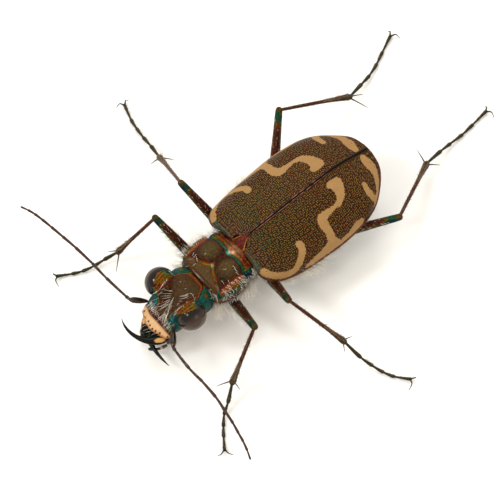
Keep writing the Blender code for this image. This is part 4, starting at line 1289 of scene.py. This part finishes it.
FEELER_HORN = ("downy feeler", (24.0, 3.0), (0.02, 0.009, 0.006), (0.07, 0.034, 0.022), (),
               (0.0, 0.65, 0.2), (24.0, 3.0, 0.00002, 0.7))

# %% Feelers


def dark_limb_finish():
    made = Finish("black-green limb")
    colour = made.ramp(made.noise(7.0, 3.0), DARK_LIMB_STOPS)
    return made.close(colour, 0.45, 0.2, 0.45, (made.noise(20.0, 3.0), 0.00001, 0.5))


def make_feelers():
    down = horn(*FEELER_HORN)
    dark = dark_limb_finish()
    parts = (
        # piece, solid, first joint and joint after the last, form of a segment, sides, finish and slot
        ("scape_club_", "scape_", 0, 2, SCAPE_SHAPE, 20, dark, "copper_limb"),
        ("feeler_chain_", "feeler_base_", 1, DARK_SEGMENTS + 1, SEGMENT_SHAPE, 16, dark, "copper_limb"),
        ("feeler_whip_", "feeler_tip_", DARK_SEGMENTS, 12, SEGMENT_SHAPE, 16, down, "feeler"),
    )
    for side in SIDES:
        joints = [over_floor(on_side(SCAPE_ROOT, side)), *FEELER_JOINTS[side]]
        for name, solid, first, after, shape, sides, finish, slot in parts:
            piece = Piece(name + side)
            club_chain(piece, joints[first:after], SEGMENT_RADII[first:after - 1], shape, sides)
            piece.build(finish, slot, solid + side)


make_feelers()

# %% [markdown]
# ## Legs
#
# Six long running legs. Each has a coxa in the breast, a small trochanter, a stout coppery thigh with green
# ends, a thin reddish shin that widens at the ankle and bears two spurs, and a foot of five clubs with two
# claws. Joints, spur tips and claw tips stand over the floor where the photo has them. The feet's clubs
# touch the floor, and the claws hook down to it.

# %% Where the legs stand
HIPS = {"fore": (1.1, 0.66, -1.1), "mid": (-0.72, 0.86, -1.25), "hind": (-2.72, 0.98, -1.45)}
LEGS = (
    # pair and side; knee, ankle, four joints of the foot and the toe; tips of the spurs; tips of the claws
    ("fore", "left", ((3.67, -5.45, 2.65), (4.33, -7.23, 0.76), (4.74, -7.81, 0.33), (5.0, -8.24, 0.19),
     (5.37, -8.6, 0.12), (5.72, -8.89, 0.09), (6.23, -9.27, 0.13)),
     ((3.9, -7.74), (4.64, -7.09)), ((6.21, -9.64), (6.6, -9.1))),
    ("mid", "left", ((3.82, -3.74, 3.13), (5.98, -2.51, 0.88), (6.76, -2.3, 0.35), (7.32, -2.13, 0.19),
     (7.82, -1.96, 0.12), (8.26, -1.73, 0.09), (8.81, -1.3, 0.13)),
     ((5.84, -1.95), (6.17, -2.65)), ((8.83, -1.03), (9.1, -1.67))),
    ("hind", "left", ((3.58, 2.59, 2.18), (1.91, 5.65, 0.75), (1.7, 6.64, 0.32), (1.65, 7.24, 0.19),
     (1.63, 7.94, 0.12), (1.55, 8.61, 0.09), (1.45, 9.46, 0.13)),
     ((0.99, 5.9), (2.2, 6.15)), ((1.21, 9.57), (1.88, 9.55))),
    ("fore", "right", ((-2.79, -5.38, 2.79), (-3.38, -6.96, 0.74), (-3.65, -7.48, 0.3), (-3.75, -7.98, 0.19),
     (-3.9, -8.47, 0.12), (-4.1, -8.88, 0.09), (-4.42, -9.46, 0.13)),
     ((-2.86, -7.5), (-3.8, -7.2)), ((-4.66, -9.43), (-4.02, -9.68))),
    ("mid", "right", ((-3.27, -3.56, 2.95), (-5.67, -2.77, 0.77), (-6.48, -2.56, 0.3), (-7.06, -2.5, 0.18),
     (-7.6, -2.42, 0.12), (-8.1, -2.32, 0.09), (-8.81, -2.09, 0.13)),
     ((-5.33, -2.28), (-5.8, -3.15)), ((-8.98, -2.42), (-8.9, -1.79))),
    ("hind", "right", ((-3.46, 2.0, 2.34), (-2.63, 5.28, 0.71), (-2.93, 6.21, 0.28), (-3.06, 6.77, 0.19),
     (-3.31, 7.41, 0.12), (-3.6, 8.0, 0.09), (-3.96, 8.77, 0.13)),
     ((-2.48, 5.89), (-1.85, 5.63)), ((-4.22, 8.84), (-3.63, 9.04))),
)
SPUR_HEIGHT = 0.4
CLAW_HEIGHT = 0.025
THIGH_SHAPE = ((0.0, 0.12), (0.05, 0.17), (0.22, 0.225), (0.5, 0.215), (0.8, 0.175), (0.93, 0.165),
               (1.0, 0.15))
SHIN_SHAPE = ((0.0, 0.085), (0.06, 0.075), (0.3, 0.08), (0.7, 0.09), (0.88, 0.125), (0.97, 0.15),
              (1.0, 0.13))
CONE_RADII = ((0.34,), (0.3,), (0.19,))
FOOT_RADII = (0.095, 0.085, 0.08, 0.078, 0.075)
FOOT_SHAPE = ((0.0, 0.5), (0.15, 0.58), (0.6, 0.8), (0.92, 1.0), (1.0, 0.85))
print("toes stand within, mm:", np.ptp([joints[-1][:2] for _, _, joints, *_ in LEGS], axis=0).round(2))

# %% Finishes of shins and feet


def shin_finish():
    made = Finish("reddish shin")
    grain = made.noise(12.0, 3.0, place=made.place * (1.0, 1.0, 0.6))
    colour = made.blend(made.between(0.3, 0.7, grain), (0.018, 0.009, 0.004), (0.1, 0.032, 0.014))
    colour = made.blend(made.between(0.78, 1.0, made.field("along")) * 0.8, colour, (0.02, 0.024, 0.007))
    return made.close(colour, 0.55, 0.3, 0.12, (grain, 0.00002, 0.5))


FOOT_HORN = (
    "green-black foot", (14.0, 3.0), (0.008, 0.007, 0.003), (0.045, 0.034, 0.012),
    (("along", 0.85, 1.0, 1.0, (0.012, 0.008, 0.004)),),
    (0.4, 0.32, 0.15), (14.0, 3.0, 0.00002, 0.5),
)

# %% The legs


def limb_rings(start, end, shape, rows, sides, flat, bow):
    """Rings of one length of leg, from a table of shares and radii, bowed upward a little."""
    share, radii = smooth(shape, rows).T
    share = np.clip(share, 0, 1)[:, None]
    path = start + (end - start) * share + np.array((0, 0, bow)) * np.sin(math.pi * share)
    return rod(path, radii, sides, flat)


def make_leg(pair, side, joints, spurs, claws, shin_material, foot_material):
    name = pair + "_" + side
    hip, root = over_floor(on_side(np.array(HIPS[pair]) + ((0, 0, 0), (0.0, -0.4, 0.42)), side))
    joints = np.array(joints)
    knee, ankle = joints[:2]
    toe = joints[-1]
    thigh_aim = unit(knee - hip)
    shin_aim = unit(ankle - knee)

    coxa = Piece("coxa_cone_" + name)
    cone = rod(smooth([root, root * 0.4 + hip * 0.6, hip], 14), smooth(CONE_RADII, 14)[:, 0], 20)
    coxa.skin(cone, shift=0.35 + 0.35 * row_shares(cone))
    coxa.skin(rod([hip - thigh_aim * 0.05, hip + thigh_aim * 0.28], (0.15, 0.13), 18), shift=0.66)
    coxa.build(LIMB_FINISH, "copper_limb", "coxa_" + name)

    thigh = Piece("thigh_" + name)
    rings = limb_rings(hip + thigh_aim * 0.16, knee, THIGH_SHAPE, rows=44, sides=24, flat=0.92, bow=0.03)
    share = row_shares(rings)
    shift = 0.18 + 0.5 * hump(share - 0.9, 0.07) + 0.3 * ease(0.12, 0.0, share)
    thigh.skin(rings, shift=shift + 0.46 * np.abs(np.cos(full_turn(24))) ** 3)
    across = unit(np.cross(thigh_aim, shin_aim))
    for out in (-across, across):
        lobe = (knee - thigh_aim * 0.22 + out * 0.07, knee + out * 0.085 + shin_aim * 0.06)
        thigh.skin(rod(lobe, (0.095, 0.055), 14), shift=0.52)
    thigh.build(LIMB_FINISH, "copper_limb", "femur_" + name)

    shin = Piece("shin_" + name)
    rings = limb_rings(knee, ankle, SHIN_SHAPE, rows=60, sides=20, flat=0.9, bow=0.02)
    shin.skin(rings, along=row_shares(rings))
    base = ankle - shin_aim * 0.1
    for place in spurs:
        tip = np.array((*place, SPUR_HEIGHT))
        shin.skin(tapered([base, (base + tip) / 2 + (0, 0, 0.03), tip], 14, 0.04, 0.008, 10), along=0.92)
    shin.build(shin_material, "horn_limb", "tibia_" + name)

    foot = Piece("foot_" + name)
    club_chain(foot, joints[1:], FOOT_RADII, FOOT_SHAPE, flat=0.9)
    ahead = unit(toe - joints[-2])
    for place in claws:
        tip = np.array((*place, CLAW_HEIGHT))
        middle = toe + (tip - toe) * (0.45, 0.45, 0) + ahead * 0.09 + (0, 0, 0.03)
        foot.skin(tapered([toe - ahead * 0.05, middle, tip], 18, 0.042, 0.007, 10), along=1.0, club=5.0)
    foot.build(foot_material, "dark_limb", "tarsus_" + name)


leg_materials = shin_finish(), horn(*FOOT_HORN)
for leg in LEGS:
    make_leg(*leg, *leg_materials)

# %% [markdown]
# ## Bristles
#
# White bristles fringe the beetle: a fan on the brow, a comb on the flanks of the pronotum, long soft ones
# under the shoulders, and short rows on the legs. Each is a bent three-sided thorn of real mesh, because
# particle hair would be lost when the model is exported. A piece gathers thousands of them, and each
# bristle's corners share one small patch of a map at its root's place, so that it takes one colour there.

# %% Sizes and finishes of bristles
BRISTLE_RINGS = np.array((0.0, 0.35, 0.68, 1.0))
CORNER_TURNS = np.radians((90, 210, 330))
PATCH = 0.003
ABOVE_FLOOR = 0.012
DRAWS = 60000
FULL_TURN = 6.283
BRISTLE_SURFACE = ((), (0.0, 0.45, 0.3), None)
WHITE_BRISTLE = horn("white bristle", (3.0,), (0.74, 0.68, 0.56), (0.96, 0.93, 0.87), *BRISTLE_SURFACE)
DULL_BRISTLE = horn("dull bristle", (3.0,), (0.1, 0.065, 0.035), (0.28, 0.21, 0.13), *BRISTLE_SURFACE)
print("bristle finishes:", WHITE_BRISTLE.name, DULL_BRISTLE.name)

# %% A coat of bristles


def along_body(vectors):
    """Directions in the body's frame, turned to stand over the floor."""
    return over_floor(vectors) - over_floor(np.zeros(3))


class Coat:
    """Bristles gathered into one piece, in millimetres over the floor."""

    def __init__(self, name, seed):
        self.name = name
        self.draw = np.random.default_rng(seed)
        self.grown = []

    def grow(self, roots, aims, bows, lengths, width, patches):
        """Bristles from their roots, along their aims, bent towards their bows."""
        t = BRISTLE_RINGS[None, :, None]
        aims = unit(aims)[:, None]
        lengths = np.broadcast_to(lengths, len(roots))[:, None, None]
        spine = roots[:, None] + lengths * (aims * t + bows[:, None] * t**2)
        spine[..., 2] = np.maximum(spine[..., 2], ABOVE_FLOOR)
        side = unit(np.cross(aims, (0.31, 0.22, 0.93)))
        over = np.cross(aims, side)
        radii = width * np.maximum(1 - t, 0.06) ** 0.7
        corners = [spine + radii * (math.cos(turn) * side + math.sin(turn) * over) for turn in CORNER_TURNS]
        self.grown.append((np.stack(corners, 2), patches))

    def grow_on_body(self, roots, aims, bows, lengths, width, patches):
        self.grow(over_floor(roots), along_body(aims), along_body(bows), lengths, width, patches)

    def cover(self, shell, chance, aim_of, lengths, width, lean, droop):
        """Bristles on a shell, as dense as a chance says for each place, with an aim for each."""
        rows, columns = self.draw.random((2, DRAWS))
        places, normals, patches = shell.sample(rows, columns)
        keep = np.flatnonzero(self.draw.random(len(places)) < chance(*places.T))
        places, normals, patches = places[keep], normals[keep], patches[keep]
        aims = unit(normals * lean + unit(aim_of(*places.T)) + self.draw.normal(0, 0.16, places.shape))
        size = self.draw.uniform(*lengths, len(places))
        bows = normals * droop + self.draw.normal(0, 0.1, places.shape)
        self.grow_on_body(places, aims, bows, size, width, patches)
        print(self.name, "bristles:", len(places))

    def comb(self, shell, width, lift, count, roots, tips, bulge):
        """A row of single bristles: the first and last root and tip are given as (forward, to the left)."""
        upper = shell.grid[shell.grid[..., 2] > -0.45]

        def on_top(first, last):
            spots = np.array(first) + (np.array(last) - first) * shares
            gaps = np.linalg.norm(upper[None, :, :2] - spots[:, None], axis=2)
            return np.concatenate([spots, upper[gaps.argmin(axis=1), 2:]], axis=1)

        shares = np.linspace(0, 1, count)[:, None] + self.draw.normal(0, 0.03, (count, 1))
        starts = on_top(*roots)
        ends = on_top(*tips) + (0, 0, lift) + self.draw.normal(0, 0.02, starts.shape)
        length = np.linalg.norm(ends - starts, axis=1)
        ahead = (ends - starts) / length[:, None]
        sideways = np.stack([-ahead[:, 1], ahead[:, 0], 0 * length], -1)
        aims = unit(ahead + sideways * bulge + (0, 0, 0.45))
        patches = shell.sample(0.5 + 0 * length, 0.25 + 0.1 * shares[:, 0])[2]
        self.grow_on_body(starts, aims, ahead - aims, length, width, patches)

    def line(self, start, end, shape, count, turns, lengths, width, lean, cell, along=(0.08, 0.95)):
        """Rows of bristles along one length of leg, at the given turns round it, leaning towards its end."""
        axis = unit(end - start)
        across = unit(np.cross(axis, (0, 0, 1)))
        over = np.cross(across, axis)
        shares = self.draw.uniform(*along, count)
        turns = self.draw.choice(turns, count) + self.draw.normal(0, 0.16, count)
        radii = np.interp(shares, *np.array(shape).T) * 0.93
        out = np.cos(turns)[:, None] * across + np.sin(turns)[:, None] * over
        roots = start + (end - start) * shares[:, None] + out * radii[:, None]
        aims = out + axis * lean + self.draw.normal(0, 0.1, out.shape)
        bows = axis * 0.15 + self.draw.normal(0, 0.06, out.shape)
        patches = np.stack([cell[0] + 0.04 * (turns % FULL_TURN) / FULL_TURN, cell[1] + 0.12 * shares], -1)
        self.grow(roots, aims, bows, self.draw.uniform(*lengths, count), width, patches)

    def build(self, material):
        rings, patches = (np.concatenate(parts) for parts in zip(*self.grown))
        count, rows, sides = rings.shape[:3]
        index, quads = ring_quads(rows, sides)
        ends = np.array([index[0][::-1], index[-1]])
        starts = (np.arange(count) * rows * sides)[:, None, None]
        points = rings.reshape(-1, 3)
        groups = [(faces + starts).reshape(-1, faces.shape[1]) for faces in (quads, ends)]
        piece = Piece(self.name)
        piece.add(points, groups, {"place": points})
        mesh = piece.build(material).data
        turn, share = np.meshgrid(np.linspace(-0.5, 0.5, sides), BRISTLE_RINGS - 0.5)
        spots = (patches[:, None, None] + np.stack([turn, share], -1) * PATCH).reshape(-1, 2)
        corners = np.zeros(len(mesh.loops), int)
        mesh.loops.foreach_get("vertex_index", corners)
        mesh.uv_layers.new(name="OFBake").data.foreach_set("uv", spots[corners].astype(np.float32).ravel())


def outward(forward, out, up):
    """A direction of the body whose second part points to the side that the bristle stands on."""
    return lambda x, y, z: np.stack([forward + 0 * x, out * np.sign(y), up + 0 * z], -1)

# %% [markdown]
# ## Bristles of the head
#
# White bristles stand in short rows on the brow and beside the eyes, lying forward over the clypeus, and a
# few come out from under the upper lip. Rows were made one by one, because each has its own place and
# direction on a real head; finer bristles between them are scattered.

# %% Rows and zones of the head
HEAD_COMBS = (
    # how many, roots of the first and the last, their tips, and how far they bulge to their left
    (8, ((3.12, -0.24), (3.55, -0.02)), ((3.5, -0.5), (4.02, -0.14)), 0.2),
    (7, ((3.22, -0.06), (3.78, 0.2)), ((3.62, 0.0), (4.28, 0.46)), 0.15),
    (5, ((3.84, 0.06), (3.92, 0.24)), ((4.3, 0.34), (4.12, 0.58)), 0.1),
    (8, ((2.72, 0.32), (3.04, 0.68)), ((3.04, 0.16), (3.4, 0.3)), 0.6),
    (3, ((2.66, 0.36), (2.6, 0.6)), ((2.64, 0.53), (2.83, 0.85)), 0.2),
    (2, ((2.69, 0.07), (2.62, -0.33)), ((2.64, 0.2), (2.65, -0.2)), 0.0),
    (3, ((3.0, -0.69), (3.29, -0.63)), ((3.26, -0.54), (3.61, -0.58)), 0.3),
    (2, ((3.27, 0.66), (3.31, 0.65)), ((3.28, 0.83), (3.65, 0.59)), 0.1),
    (2, ((2.78, 0.95), (2.69, -0.93)), ((2.98, 0.92), (2.65, -0.59)), 0.1),
    (11, ((3.98, -0.78), (4.16, -0.46)), ((3.88, -0.47), (4.1, -0.22)), -0.5),
    (5, ((4.03, -0.3), (4.03, 0.14)), ((4.24, -0.12), (4.26, 0.36)), -0.2),
)
LIP_BRISTLES = ((4.5, -0.36, -0.36), (4.58, -0.18, -0.36), (4.64, 0.0, -0.36), (4.66, 0.16, -0.36),
                (4.62, 0.32, -0.36), (4.54, 0.5, -0.38))


def brow_fan(x, y, z):
    """Forward, and out from the middle or in from the eyes, as a fan."""
    out = np.sign(y) * (0.55 - 0.5 * ease(0.5, 0.9, np.abs(y))) - 0.1 * y
    return np.stack([0.8 + 0 * x, out, -0.5 + 0 * z], -1)


HEAD_ZONES = (
    # chance at a place, aim, shortest and longest, radius, lean outward, droop
    (lambda x, y, z: 0.01 * (z > 0) * hump(x - 3.45, 0.3) * (np.abs(y) < 0.7),
     brow_fan, (0.26, 0.46), 0.0062, 0.35, -0.3),
    (lambda x, y, z: 0.03 * (z > -0.1) * hump(x - 3.98, 0.09) * (np.abs(y) < 0.72),
     lambda x, y, z: np.stack([1 + 0 * x, -0.1 * y, -0.2 + 0 * z], -1), (0.22, 0.42), 0.0062, 0.5, -0.35),
    (lambda x, y, z: 0.012 * (z < -0.35) * (z > -0.8) * (x > 2.5) * (x < 3.9),
     outward(-0.3, 1, -0.9), (0.3, 0.6), 0.007, 0.5, 0.0),
)

# %% Bristles of the head


def make_head_coat():
    coat = Coat("bristles_head", 11)
    for zone in HEAD_ZONES:
        coat.cover(HEAD, *zone)
    for row in HEAD_COMBS:
        coat.comb(HEAD, 0.0085, 0.1, *row)
    roots = np.array(LIP_BRISTLES)
    aims = unit((1.0, -0.3, -0.1) + coat.draw.normal(0, 0.1, roots.shape))
    bows = (0.0, -0.15, -0.15) + 0 * roots
    patches = np.stack([0.5 + 0.02 * roots[:, 1], 0.1 + 0 * roots[:, 1]], -1)
    coat.grow_on_body(roots, aims, bows, 0.5, 0.0055, patches)
    coat.build(WHITE_BRISTLE)


make_head_coat()

# %% [markdown]
# ## Bristles of the prothorax
#
# The flanks carry a comb of short white bristles, with longer ones below. The upper side is almost bare.

# %% Bristles of the prothorax
PRONOTUM_COMBS = (
    (16, ((1.64, 1.06), (0.4, 1.13)), ((1.61, 1.25), (0.35, 1.34)), 0.2),
    (16, ((1.56, 1.2), (0.48, 1.26)), ((1.52, 1.42), (0.4, 1.47)), 0.2),
    (6, ((1.94, 0.72), (1.84, 1.04)), ((2.12, 0.92), (1.98, 1.26)), 0.3),
    (3, ((0.56, 0.64), (0.63, 0.9)), ((0.54, 0.86), (0.6, 1.12)), 0.2),
    (2, ((1.31, 0.82), (1.1, 0.95)), ((1.34, 1.0), (1.12, 1.14)), 0.2),
    (12, ((1.6, -1.12), (0.5, -1.2)), ((1.66, -1.42), (0.4, -1.45)), -0.3),
    (5, ((1.42, -0.66), (1.34, -0.95)), ((1.52, -0.5), (1.5, -0.84)), 0.2),
)
PROTHORAX_ZONES = (
    (lambda x, y, z: 0.06 * hump(np.abs(y) - 1.34, 0.09) * ease(0.7, 0.3, z) * (z > 0.0) * (x < 1.9),
     outward(0.2, 0.55, 0.8), (0.26, 0.42), 0.008, 0.45, -0.25),
    (lambda x, y, z: 0.0012 * (z > 0.3) * (np.abs(y) > 0.5) * (x > 0.4),
     outward(0.9, -0.3, 0.2), (0.18, 0.3), 0.007, 0.4, -0.25),
    (lambda x, y, z: 0.034 * (z < -0.1) * (z > -0.85) * (x > 0.0),
     outward(0.35, 0.9, -0.35), (0.45, 1.0), 0.017, 0.5, -0.2),
)


def make_prothorax_coat():
    coat = Coat("bristles_prothorax", 23)
    for zone in PROTHORAX_ZONES:
        coat.cover(PROTHORAX, *zone)
    for row in PRONOTUM_COMBS:
        coat.comb(PROTHORAX, 0.008, 0.04, *row)
    coat.build(WHITE_BRISTLE)


make_prothorax_coat()

# %% [markdown]
# ## Bristles of the hind body
#
# The sides of the chest and belly are covered with long white hairs that lie back and hide beneath the wing
# cases.

# %% Bristles of the hind body
HIND_ZONES = (
    (THORAX, lambda x, y, z: 0.075 * (z < -0.15) * (z > -1.05) * (x < -0.3) * ease(-3.0, -2.2, x),
     outward(-0.45, 0.9, -0.15), (0.4, 0.8), 0.0155, 0.5, -0.15),
    (THORAX, lambda x, y, z: 0.06 * (z < 0.35) * (z > -0.6) * (x > -0.5),
     outward(0.3, 0.9, 0.2), (0.24, 0.46), 0.01, 0.5, -0.2),
    (BELLY, lambda x, y, z: 0.04 * (z < -0.45) * (z > -1.0) * ease(-6.6, -4.0, x),
     outward(-0.8, 0.6, -0.3), (0.25, 0.55), 0.0075, 0.4, -0.15),
)
hind_coat = Coat("bristles_hind_body", 37)
for zone in HIND_ZONES:
    hind_coat.cover(*zone)
hind_coat.build(WHITE_BRISTLE)

# %% [markdown]
# ## Bristles of the legs
#
# Thighs have rows of white bristles below and a few short ones above. Shins and feet have short dull ones
# all round.

# %% Bristles of the legs
ALL_ROUND = (0.0, 1.57, 3.14, -1.57)
THIGH_TOP = (1.57, 0.7, 2.4)
THIGH_ROWS = {
    # turns of the pale rows below the thigh, and how long their bristles are
    "fore": ((-0.3, -0.8, -2.3, -2.8, -1.55), (0.2, 0.38)),
    "mid": ((-1.2, -1.9, -1.55), (0.14, 0.26)),
    "hind": ((-1.55, -1.2), (0.14, 0.26)),
}


def make_leg_coats(number, pair, side, joints):
    name = pair + "_" + side
    hip = over_floor(on_side(HIPS[pair], side))
    joints = np.array(joints)
    knee, ankle = joints[:2]
    left = 0.36 + 0.05 * number
    below, lengths = THIGH_ROWS[pair]
    pale = Coat("bristles_thigh_" + name, 50 + number)
    pale.line(hip, knee, THIGH_SHAPE, 170, below, lengths, 0.009, 0.6, (left, 0.36), (0.15, 0.85))
    pale.line(hip, knee, THIGH_SHAPE, 40, THIGH_TOP, (0.12, 0.2), 0.007, 1.0, (left, 0.36), (0.2, 0.9))
    pale.build(WHITE_BRISTLE)
    dull = Coat("bristles_shin_foot_" + name, 70 + number)
    dull.line(knee, ankle, SHIN_SHAPE, 110, ALL_ROUND, (0.07, 0.14), 0.006, 1.4, (left, 0.5))
    dull.line(knee, ankle, SHIN_SHAPE, 110, (1.2, 1.9), (0.12, 0.2), 0.006, 0.8, (left, 0.5), (0.6, 0.95))
    for k, radius in enumerate(FOOT_RADII):
        shape = ((0, radius * 0.5), (1, radius))
        cell = (left, 0.64 + 0.02 * k)
        start, end = joints[k + 1:k + 3]
        dull.line(start, end, shape, 22, ALL_ROUND, (0.05, 0.1), 0.006, 1.3, cell, (0.3, 0.98))
    dull.build(DULL_BRISTLE)


for number, leg in enumerate(LEGS):
    make_leg_coats(number, *leg[:3])
